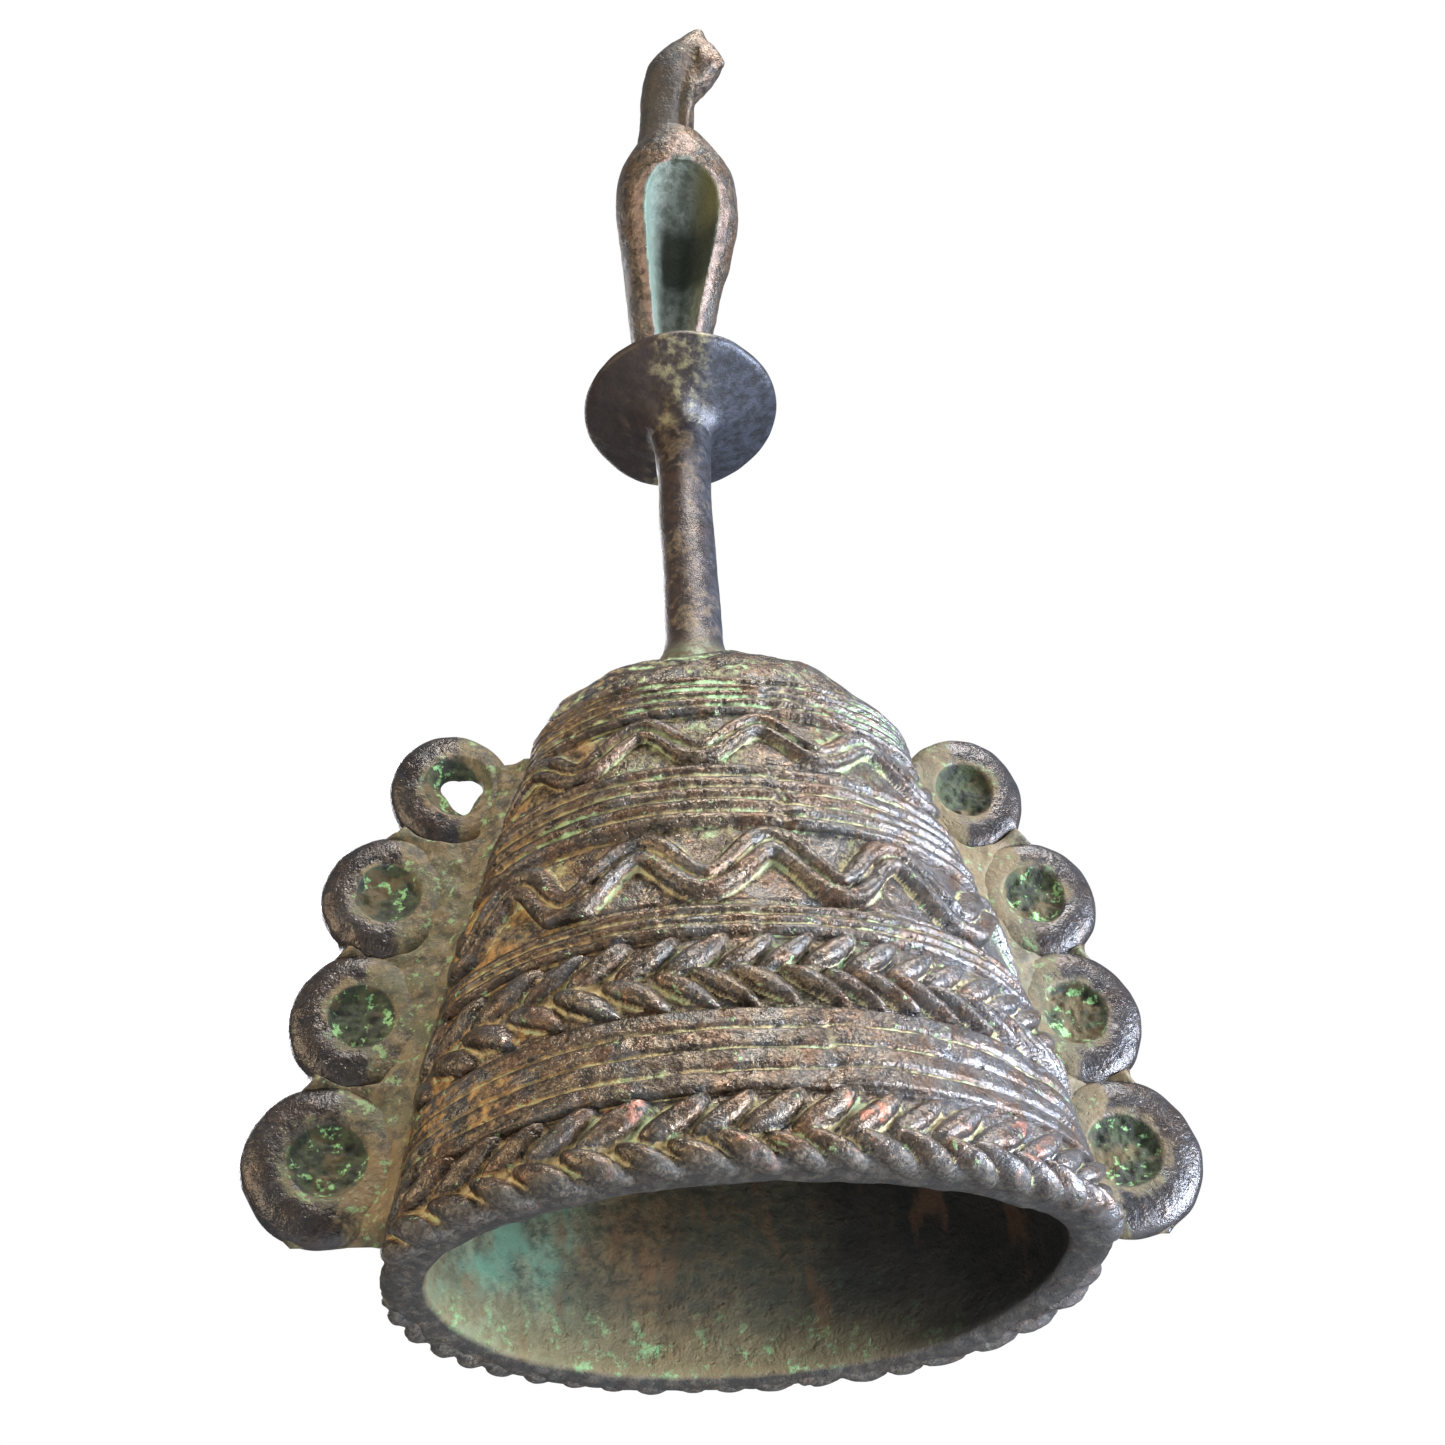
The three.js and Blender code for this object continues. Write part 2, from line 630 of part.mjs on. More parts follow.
// Clapper: an eye round the foot of the link, a stem and a pear-shaped striker
const pivotHeight = STAPLE_HEIGHT - LINK_SPAN;
const eyeRadius = LINK_WIRE + GAP + EYE_WIRE;
const eye = new THREE.TorusGeometry(eyeRadius, EYE_WIRE, 7, 18);
eye.rotateX(Math.PI / 2);
eye.translate(0, 0, pivotHeight);
const stemTop = pivotHeight - eyeRadius - 0.2;
const striker = turned([
  [0, STRIKER_HEIGHT - STRIKER_RADIUS],
  [4.2, STRIKER_HEIGHT - STRIKER_RADIUS + 1.2],
  [6.9, STRIKER_HEIGHT - 3.6],
  [STRIKER_RADIUS, STRIKER_HEIGHT],
  [6.6, STRIKER_HEIGHT + 4.2],
  [3.6, STRIKER_HEIGHT + 8.5],
  [2.3, STRIKER_HEIGHT + 13],
  [1.8, stemTop - 6],
  [1.5, stemTop],
  [0, stemTop],
], 14);
add('clapper', fromSolid(join(eye, striker)), 0x4c4a46, 0.55);

export default group;
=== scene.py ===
"""Ritual hand bell in old cast bronze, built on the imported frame: relief bands, lobed flanges,
handle, bird finial and clapper, with procedural patina. Lengths are in millimetres until a mesh is made."""
import math
from functools import reduce

import bpy
import numpy as np
from mathutils import Matrix, Vector


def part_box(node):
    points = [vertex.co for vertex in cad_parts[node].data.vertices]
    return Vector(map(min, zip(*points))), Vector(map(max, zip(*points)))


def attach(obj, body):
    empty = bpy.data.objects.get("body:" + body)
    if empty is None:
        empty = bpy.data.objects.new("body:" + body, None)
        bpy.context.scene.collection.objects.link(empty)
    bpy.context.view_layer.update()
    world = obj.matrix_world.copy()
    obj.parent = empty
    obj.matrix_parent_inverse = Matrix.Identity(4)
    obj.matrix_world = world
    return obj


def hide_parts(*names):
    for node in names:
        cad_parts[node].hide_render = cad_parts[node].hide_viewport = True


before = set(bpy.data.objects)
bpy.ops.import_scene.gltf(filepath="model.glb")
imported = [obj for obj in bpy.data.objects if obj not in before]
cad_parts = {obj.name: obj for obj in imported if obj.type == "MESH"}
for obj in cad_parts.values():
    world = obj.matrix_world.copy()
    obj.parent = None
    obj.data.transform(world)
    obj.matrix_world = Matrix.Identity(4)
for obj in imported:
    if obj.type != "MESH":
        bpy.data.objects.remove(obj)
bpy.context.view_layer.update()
MM = 0.001


def mm_box(node):
    low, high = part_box(node)
    return np.array(low) / MM, np.array(high) / MM


# ---- sizes from the frame
_, SHELL_HIGH = mm_box("bell_shell")
MOUTH_WIDTH = 56.8
MOUTH_DEPTH = SHELL_HIGH[1]
CROWN_TOP = SHELL_HIGH[2]
SHOULDER = 98.0
SHOULDER_WIDTH = 34.8
SHOULDER_DEPTH = 19.3
BELLY = 2.2
WALL = 5.0
LIP_EXTRA = 2.6
LIP_WALL = WALL + LIP_EXTRA
LIP_LIFT_LEFT = 1.4
LIP_LIFT_RIGHT = 3.2
LIP_TILT = 0.8
CROWN_DRIFT = 1.8
LIP_FLAT = 0.6
DROOP = 4.0

# ---- camera
LOOK_AT = Vector((0.0034, 0.0, 0.1127))
CAMERA_DISTANCE = 0.4423
CAMERA_AZIMUTH = -9.8
CAMERA_ELEVATION = -40.0
CAMERA_ROLL = -5.75
CAMERA_LENS = 61.04


def add_camera():
    azimuth = math.radians(CAMERA_AZIMUTH)
    elevation = math.radians(CAMERA_ELEVATION)
    back = Vector((
        math.sin(azimuth) * math.cos(elevation),
        -math.cos(azimuth) * math.cos(elevation),
        math.sin(elevation),
    ))
    right = (-back).cross(Vector((0, 0, 1))).normalized()
    up = right.cross(-back)
    roll = math.radians(CAMERA_ROLL)
    across = right * math.cos(roll) + up * math.sin(roll)
    above = up * math.cos(roll) - right * math.sin(roll)
    place = LOOK_AT + back * CAMERA_DISTANCE
    data = bpy.data.cameras.new("camera")
    data.lens = CAMERA_LENS
    data.sensor_width = 36.0
    data.clip_start = 0.01
    data.clip_end = 30.0
    data.dof.use_dof = False
    camera = in_scene("camera", data)
    turn = Matrix((across, above, back)).transposed().to_4x4()
    camera.matrix_world = Matrix.Translation(place) @ turn
    bpy.context.scene.camera = camera


# ---- noise
def lattice(ix, iy, iz, seed):
    h = (ix * 374761393 + iy * 668265263 + iz * 1440670441 + seed * 1274126177) & 0xFFFFFFFF
    h = ((h ^ (h >> 13)) * 1274126177) & 0xFFFFFFFF
    h = ((h ^ (h >> 15)) * 2246822519) & 0xFFFFFFFF
    return ((h ^ (h >> 16)) & 0xFFFF) / 32767.5 - 1.0


def noise(x, y, z, cell, seed=0):
    """Smooth noise from -1 to 1 with features about one cell across."""
    x, y, z = np.broadcast_arrays(np.asarray(x, float), np.asarray(y, float), np.asarray(z, float))
    fx, fy, fz = x / cell + 71.3, y / cell + 37.7, z / cell + 53.1
    ix, iy, iz = (np.floor(f).astype(np.int64) for f in (fx, fy, fz))
    tx, ty, tz = fx - ix, fy - iy, fz - iz
    tx, ty, tz = (t * t * t * (t * (t * 6 - 15) + 10) for t in (tx, ty, tz))
    total = 0.0
    for dx in (0, 1):
        for dy in (0, 1):
            for dz in (0, 1):
                weight = (tx if dx else 1 - tx) * (ty if dy else 1 - ty) * (tz if dz else 1 - tz)
                total = total + weight * lattice(ix + dx, iy + dy, iz + dz, seed)
    return total


def rough(x, y, z, cell, octaves=3, seed=0):
    total = 0.0
    size = 1.0
    for k in range(octaves):
        total = total + size * noise(x, y, z, cell / 2 ** k, seed + 17 * k)
        size *= 0.55
    return total


def ease(low, high, value):
    t = np.clip((value - low) / (high - low), 0, 1)
    return t * t * (3 - 2 * t)


def ring_angles(count):
    return np.arange(count) / count * 2 * math.pi


def axes(points):
    return points[..., 0], points[..., 1], points[..., 2]


def points_at(x, y, z):
    """Points from three coordinates, each a number or an array."""
    return np.stack(np.broadcast_arrays(x, y, z), -1)


def smoothed(values, kernel):
    half = len(kernel) // 2
    return np.convolve(np.pad(values, half, mode="reflect", reflect_type="odd"), kernel, "valid")


# ---- meshes
def in_scene(name, data):
    thing = bpy.data.objects.new(name, data)
    bpy.context.scene.collection.objects.link(thing)
    return thing


add_camera()


def build(name, points, quads, polygons=(), smooth=True):
    """A mesh object from points in mm, an (n, 4) array of quads and a list of other polygons."""
    points = np.asarray(points, float).reshape(-1, 3) * MM
    quads = np.asarray(quads, np.int64).reshape(-1, 4)
    corners = np.concatenate([quads.reshape(-1)] + [np.asarray(p, np.int64) for p in polygons])
    sizes = np.array([4] * len(quads) + [len(p) for p in polygons], int)
    mesh = bpy.data.meshes.new(name)
    mesh.vertices.add(len(points))
    mesh.vertices.foreach_set("co", points.reshape(-1))
    mesh.loops.add(len(corners))
    mesh.loops.foreach_set("vertex_index", corners)
    mesh.polygons.add(len(sizes))
    mesh.polygons.foreach_set("loop_start", np.cumsum(sizes) - sizes)
    mesh.polygons.foreach_set("loop_total", sizes)
    mesh.update(calc_edges=True)
    mesh.validate()
    mesh.polygons.foreach_set("use_smooth", [smooth] * len(mesh.polygons))
    return in_scene(name, mesh)


def vertex_vectors(thing, key):
    values = np.zeros(len(thing.data.vertices) * 3)
    thing.data.vertices.foreach_get(key, values)
    return values.reshape(-1, 3)


def points_of(thing):
    return vertex_vectors(thing, "co") / MM


def write_points(thing, points):
    thing.data.vertices.foreach_set("co", (points * MM).reshape(-1))
    thing.data.update()


def attribute(thing, name, values):
    layer = thing.data.attributes.get(name) or thing.data.attributes.new(name, "FLOAT", "POINT")
    layer.data.foreach_set("value", np.asarray(values, np.float32))


def blurred(points, edges, rounds):
    count = np.bincount(edges.reshape(-1), minlength=len(points)).astype(float)[:, None]
    count[count == 0] = 1
    for _ in range(rounds):
        total = np.zeros_like(points)
        for k in range(3):
            for here, there in ((0, 1), (1, 0)):
                total[:, k] += np.bincount(edges[:, here], points[edges[:, there], k], len(points))
        points = 0.35 * points + 0.65 * total / count
    return points


def mark_relief(thing, rounds, depth):
    """Writes 'relief': above 0 on raised edges, below 0 in grooves."""
    edges = np.zeros(len(thing.data.edges) * 2, np.int64)
    thing.data.edges.foreach_get("vertices", edges)
    points = points_of(thing)
    drop = points - blurred(points, edges.reshape(-1, 2), rounds)
    relief = (drop * vertex_vectors(thing, "normal")).sum(1) / depth
    attribute(thing, "relief", np.clip(relief, -1.5, 1.5))


def grid_faces(rows, columns):
    """Quads over rings of points stored one after another."""
    i = np.arange(rows - 1)[:, None] * columns
    j = np.arange(columns)[None, :]
    k = (j + 1) % columns
    return np.stack([i + j, i + k, i + columns + k, i + columns + j], -1).reshape(-1, 4)


def face_outward(thing):
    """Turns the normals of a closed mesh out."""
    mesh, points = thing.data, points_of(thing)
    mesh.calc_loop_triangles()
    tri = np.zeros(len(mesh.loop_triangles) * 3, np.int64)
    mesh.loop_triangles.foreach_get("vertices", tri)
    a, b, c = (points[tri.reshape(-1, 3)[:, k]] for k in range(3))
    if (a * np.cross(b, c)).sum() < 0:
        mesh.flip_normals()
    return thing


def closed_skin(name, rings, quads=None):
    """A closed mesh over rings of points, with a cap on the first and the last."""
    count, around = rings.shape[:2]
    if quads is None:
        quads = grid_faces(count, around)
    last = (count - 1) * around
    caps = [range(around - 1, -1, -1), range(last, last + around)]
    return face_outward(build(name, rings, quads, caps))


def looped_skin(name, rings):
    """A closed mesh over rings of points, where the last ring joins the first."""
    count, around = rings.shape[:2]
    return face_outward(build(name, rings, grid_faces(count + 1, around) % (count * around)))


# ---- the bell's own shape
def crown_share(z):
    return np.sqrt(np.clip(1 - np.clip((z - SHOULDER) / (CROWN_TOP - SHOULDER), 0, 1) ** 2, 0, 1))


def half_width(z):
    share = np.clip(z / SHOULDER, 0, 1)
    straight = MOUTH_WIDTH + (SHOULDER_WIDTH - MOUTH_WIDTH) * share
    return (straight + BELLY * np.sin(math.pi * share)) * crown_share(z)


def half_depth(z):
    share = np.clip(z / SHOULDER, 0, 1)
    return (MOUTH_DEPTH + (SHOULDER_DEPTH - MOUTH_DEPTH) * share) * crown_share(z)


def drift(z):
    """The crown of the bell sits a little to the right of its mouth."""
    return CROWN_DRIFT * np.clip(z / 100, 0, 1.2) ** 2


def wall_at(z):
    return WALL + LIP_EXTRA * np.clip(1 - z / 22, 0, 1) ** 2


def lip_lift(across, z):
    past = np.clip((np.abs(across) - LIP_FLAT) / (1 - LIP_FLAT), 0, 1)
    rise = np.where(across < 0, LIP_LIFT_LEFT, LIP_LIFT_RIGHT)
    return rise * past * past * np.clip(1 - z / 22, 0, 1) + LIP_TILT * across * np.clip(1 - z / 60, 0, 1)


def band_shift(across, z):
    return lip_lift(across, z) - DROOP * np.abs(across) ** 3 * np.clip(z / 26, 0, 1)


ARC_STEPS = 2000
ARC_SQUASH = 0.6
arc_angles = np.linspace(0, math.pi, ARC_STEPS + 1)
arc_steps = np.hypot(np.sin(arc_angles), ARC_SQUASH * np.cos(arc_angles))
arc_length = np.concatenate([[0], np.cumsum((arc_steps[1:] + arc_steps[:-1]) / 2)])
arc_length /= arc_length[-1]


def arc_angle(share):
    """Share 0 is one flange and 1 the other, with even steps along the wall between them."""
    return np.interp(share, arc_length, arc_angles)


def around_wall(angle, height, out, side):
    x = (half_width(height) + out) * np.cos(angle)
    y = (half_depth(height) + out) * np.sin(angle)
    return points_at(side * x + drift(height), side * y, height)


def on_bell(share, z, out, side):
    """Points that stand out from the wall, along the front (side 1) or the back (side -1)."""
    angle = math.pi + arc_angle(share)
    return around_wall(angle, z + band_shift(side * np.cos(angle), z), out, side)


LIP_CORNER = 2.8
LIP_ROUND = 1.7


def round_lip(share, z, out, side):
    """As on_bell, but below the corner height the band turns under the lip."""
    angle = math.pi + arc_angle(share)
    turn = np.clip((LIP_CORNER - z) / LIP_ROUND, 0, math.pi / 2)
    under = np.maximum(0, LIP_CORNER - LIP_ROUND * math.pi / 2 - z)
    away = -LIP_ROUND + (LIP_ROUND + out) * np.cos(turn) - under
    height = np.where(z > LIP_CORNER, z, LIP_CORNER - (LIP_ROUND + out) * np.sin(turn))
    height = height + band_shift(side * np.cos(angle), np.maximum(z, 0))
    return around_wall(angle, height, away, side)


def arc_mm(z):
    a, b = half_width(z), half_depth(z)
    return math.pi * np.sqrt((a * a + b * b) / 2)


# ---- relief of each band
def cast_skin(points):
    """Uneven cast surface, for points in mm."""
    soft = 0.16 * rough(*axes(points), 7.0, 2, 3)
    grain = 0.055 * rough(*axes(points), 1.5, 2, 9)
    pits = -0.22 * ease(0.55, 0.85, noise(*axes(points), 1.9, 23))
    return soft + grain + pits


def cords(s, z, k, low, high, count, peak, flatness, seed):
    """Cords laid side by side, each a little uneven, with one place where the wax was joined."""
    seed = seed + k
    wander = 0.6 * noise(s, z * 0.3, 0, 21.0, seed) + 0.2 * noise(s, z, 0, 5.0, seed + 1)
    joint = 6.0 + 5.0 * math.sin(seed * 2.1)
    step = (high - low) / count
    wander = wander + 0.42 * step * (ease(-1.2, 1.2, s - joint) - 0.5) * math.sin(seed * 1.3)
    place = (z - low + wander * 0.55) / step
    index = np.clip(np.floor(place), 0, count - 1)
    across = np.clip(np.abs(2 * (place - index) - 1), 0, 1)
    swell = 1 + 0.22 * noise(s, index * 31.0, 0, 9.0, seed + 2)
    body = (1 - across ** flatness) ** 0.62 * swell
    chip = 1 - 0.25 * ease(0.2, 0.9, noise(s, index * 17.0, 0, 6.0, seed + 6))
    knock = 1 - 0.45 * np.exp(-((s - joint) / 1.1) ** 2)
    inside = ease(-0.06, 0.14, place) * ease(-0.06, 0.14, count - place)
    return 0.1 + (peak - 0.1) * body * knock * chip * inside


def zigzag(s, z, k, centre, swing, length, first, slide, half, peak, seed):
    """A doubled cord bent into rounded waves."""
    seed = seed + k
    s = s + 1.5 * noise(s, 0, 0, 22.0, seed)
    phase = (s - first - slide * k) / length
    corner = 4 * np.abs(phase - np.floor(phase + 0.5)) - 1
    wave = -(0.22 * corner + 0.78 * np.sin(corner * math.pi / 2))
    swing = swing * (1 + 0.16 * noise(s, 5.0, 0, 19.0, seed + 5))
    slope = np.abs(np.gradient(wave * swing, axis=0)) / np.maximum(np.abs(np.gradient(s, axis=0)), 1e-6)
    offset = z - centre - swing * wave - 0.5 * noise(s, 0, 9.0, 15.0, seed + 1)
    offset = offset / np.sqrt(1 + np.clip(slope, 0, 2.0) ** 2)
    each = half / 2
    thick = 1 + 0.16 * noise(s, z, 0, 6.0, seed + 3)
    high = peak * (1 + 0.2 * noise(s, z, 3.0, 8.0, seed + 4))
    nearest = np.abs(np.abs(offset) - each * 0.96) / (each * 0.99 * thick)
    return 0.05 + high * np.clip(1 - nearest ** 2, 0, 1) ** 0.5


def stitch_row(s, z, centre, half, lean, wide, narrow, peak, seed):
    """One row of slanting leaf-shaped stitches, wide at the left and narrower towards the right."""
    run = s - lean * (z - centre)
    rate = (wide - narrow) / 110.0
    middle = (wide + narrow) / 2
    phase = -np.log(np.clip(middle - rate * run, 1.5, 30)) / rate + seed * 0.37
    phase = phase + 0.16 * noise(run, 0, 0, 11.0, seed)
    index = np.floor(phase).astype(np.int64)
    q = (phase - index) * 2 - 1
    own = lattice(index, 0 * index + seed, 0 * index, 5)
    other = lattice(index, 0 * index + seed, 0 * index + 9, 6)
    t = (z - centre + 0.4 * own) / (half * (1 + 0.08 * other))
    fat = t * np.sign(lean)
    leaf = np.clip(1 - np.abs(t) ** 2.2, 0, 1) ** 0.6 * (0.86 - 0.26 * fat)
    ridge = np.clip(1 - (np.abs(q - 0.10 * own) / np.maximum(leaf, 0.04)) ** 2, 0, 1) ** 0.5
    ends = np.clip(1 - np.abs(t) ** 3, 0, 1) ** 0.5
    return peak * (1 + 0.2 * other) * ridge * ends


def plait(s, z, k, low, high, wide, narrow, peak, seed):
    seed = seed + k
    middle = (low + high) / 2 + 0.4 * noise(s, 0, 0, 17.0, seed + 8)
    half = (high - low) / 4 + 0.55
    gap = (high - low) / 4
    upper = stitch_row(s, z, middle + gap, half, 1.0, wide * 1.06, narrow * 1.15, peak * 0.9, seed)
    lower = stitch_row(s, z, middle - gap, half, -1.0, wide, narrow, peak, seed + 3)
    return 0.08 + np.maximum(upper, lower)


# Each band: its lowest and highest z, its kind of relief, the sizes of that relief and its seed.
# The back of the bell adds BACK_SEED to the seed, so that it isn't a copy of the front.
BACK_SEED = 7
BANDS = {
    "crown_cords": (97.6, 108.0, cords, (98.0, 107.6, 5, 1.3, 2.2), 3),
    "upper_zigzag": (84.8, 97.9, zigzag, (91.4, 3.2, 19.4, 3.6, 3, 2.7, 1.9), 11),
    "middle_cords": (69.4, 84.9, cords, (69.8, 84.6, 5, 1.6, 2.4), 21),
    "lower_zigzag": (52.8, 69.4, zigzag, (61.0, 4.3, 20.6, 4.0, 4, 3.5, 2.5), 31),
    "waist_cords": (45.2, 52.4, cords, (45.6, 52.0, 3, 1.35, 2.2), 41),
    "upper_plait": (30.4, 45.6, plait, (30.9, 45.1, 8.0, 5.0, 2.4), 51),
    "lower_cords": (13.9, 30.8, cords, (14.2, 30.4, 4, 1.35, 6.0), 61),
    "lip_plait": (-1.3, 14.4, plait, (-1.0, 14.0, 7.9, 6.0, 2.5), 71),
}
FRONT_PITCH = 0.38
BACK_PITCH = 0.52
BAND_START = 0.675
BAND_TAPER = 10.0
BAND_ROOT = -0.5
BAND_BACK = -1.3


def add_band(place, name, side):
    low, high, kind, sizes, seed = BANDS[name]
    length = float(arc_mm((low + high) / 2))
    pitch = FRONT_PITCH if side > 0 else BACK_PITCH
    start = BAND_START / float(half_depth(high))
    share, z = np.meshgrid(
        np.linspace(start, 1 - start, int(length / pitch)),
        np.linspace(low, high, max(8, int((high - low) / pitch))),
        indexing="ij",
    )
    lay = round_lip if name == "lip_plait" else on_bell
    out = kind((share - 0.5) * length, z, 0 if side > 0 else BACK_SEED, *sizes, seed)
    if name == "lip_plait":
        out = out * (0.30 + 0.70 * ease(-0.5, 4.0, z)) * (1 if side > 0 else 0.7)
    out = out + cast_skin(lay(share, z, 0, side))
    from_end = np.minimum(share - start, 1 - start - share) * length
    out = out * (0.35 + 0.65 * ease(0, BAND_TAPER, from_end))
    hold = np.minimum(ease(0, 3.0, from_end), ease(0, 0.7, np.minimum(z - low, high - z)))
    out = out * hold + BAND_ROOT * (1 - hold)
    rings = [lay(share, z, out, side), *(lay(share[:, :1], edge, BAND_BACK, side) for edge in (high, low))]
    thing = closed_skin(f"{place}_{name}_relief", np.concatenate(rings, axis=1))
    mark_relief(thing, 9, 0.34)
    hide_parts(f"{place}_{name}")
    return thing


# ---- shell
INNER_SHOULDER = 95.0
LIP_TOP = 2.2
LIP_RIM = ((0.3, 1.75), (0.9, 1.2), (2.2, 0.95), (3.6, 0.9), (5.0, 0.95), (6.2, 1.3), (7.0, 2.0))
FRONT_LIP = 1.8


def add_shell():
    """Outer skin, rounded lip and inner skin of the bell in one closed mesh."""
    columns = 480
    angle = arc_angle(np.arange(columns // 2) / (columns // 2))
    angle = np.concatenate([angle + math.pi, angle + 2 * math.pi])
    cos, sin = np.cos(angle), np.sin(angle)
    front_lip = FRONT_LIP * np.clip(-sin, 0, 1)
    rings = []

    def outward(rest, tilt, amount):
        lumps = 1.25 * cast_skin(rest) + 0.32 * noise(*axes(rest), 13.0, 5)
        lumps = lumps + 0.75 * ease(104, 116, rest[:, 2]) * rough(*axes(rest), 10.0, 3, 91)
        normal = points_at(cos * math.cos(tilt), sin * math.cos(tilt), math.sin(tilt))
        return rest + normal * (lumps * amount)[:, None]

    def inset_ring(z, width, inset):
        """A ring inside the wall that keeps the wall's own proportions."""
        depth = half_depth(z) * width / half_width(z)
        return points_at(width * cos + drift(z), depth * sin + inset, z)

    for t in np.linspace(90, 0, 44)[:-1]:
        tilt = math.radians(t)
        z = SHOULDER + (CROWN_TOP - SHOULDER) * math.sin(tilt)
        wide, deep = SHOULDER_WIDTH * math.cos(tilt), SHOULDER_DEPTH * math.cos(tilt)
        rings.append(outward(points_at(wide * cos + drift(z), deep * sin, z), tilt, min(1.0, (90 - t) / 10)))
    for z in np.linspace(SHOULDER, LIP_TOP, 130):
        z_at = z + lip_lift(cos, z)
        rings.append(outward(inset_ring(z_at, half_width(z_at), 0), 0.0, 1.0))
    before_lip = len(rings)
    for step, rise in LIP_RIM:
        z = rise + lip_lift(cos, 0)
        width = half_width(z) - step
        depth = half_depth(z) * width / half_width(z)
        rest = points_at(width * cos, depth * sin + front_lip * step / LIP_WALL, z)
        x, y, _ = axes(rest)
        wave = 0.25 * noise(x, y, 0, 8.0, 8) + 0.15 * noise(x, y, 0, 2.2, 8)
        rest[:, 2] = np.maximum(rest[:, 2] + wave, -LIP_TILT)
        rings.append(rest)
    after_lip = len(rings)
    for z in np.linspace(3.2, INNER_SHOULDER, 96):
        z_at = z + lip_lift(cos, z)
        rest = inset_ring(z_at, half_width(z_at) - wall_at(z), front_lip * max(0, 1 - z / 24))
        push = 0.45 * rough(*axes(rest), 12.0, 3, 31) + 0.08 * rough(*axes(rest), 2.4, 2, 33)
        rings.append(rest - points_at(cos, sin, 0) * (push * min(1, z / 8))[:, None])
    width = half_width(INNER_SHOULDER) - WALL
    depth = half_depth(INNER_SHOULDER) * width / half_width(INNER_SHOULDER)
    for tilt in np.radians(np.linspace(0, 90, 24)[1:]):
        z = INNER_SHOULDER + (CROWN_TOP - WALL - INNER_SHOULDER) * math.sin(tilt)
        rings.append(points_at(width * math.cos(tilt) * cos + drift(z), depth * math.cos(tilt) * sin, z))
    thing = closed_skin("bell_wall", np.array(rings))
    mark_relief(thing, 6, 0.3)
    ring = np.repeat(np.arange(len(rings)), columns)
    attribute(thing, "inside", ring >= after_lip - 1)
    attribute(thing, "lip", (ring >= before_lip - 1) & (ring < after_lip - 1))
    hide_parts("bell_shell")
    return thing


# ---- flanges
# Each lobe: centre from the middle, centre height, half width, half height, hole share across and up.
LOBE_SHAPES = [
    (45.6, 95.6, 10.8, 12.8, 0.42, 0.47),
    (55.4, 72.6, 11.2, 12.6, 0.44, 0.47),
    (58.8, 48.4, 11.8, 13.2, 0.41, 0.46),
    (62.6, 22.2, 13.4, 14.2, 0.42, 0.46),
]
LOBE_SHIFTS = {"left": (-0.4, 0.5, 1.1, 2.0), "right": (-0.6, -1.3, -1.6, -1.9)}
HOLE_DRIFT = 1.7
HOLE_EDGE = 1.14


def lobe_at(side_name, index):
    reach, *rest = LOBE_SHAPES[index]
    return (reach + LOBE_SHIFTS[side_name][index], *rest)


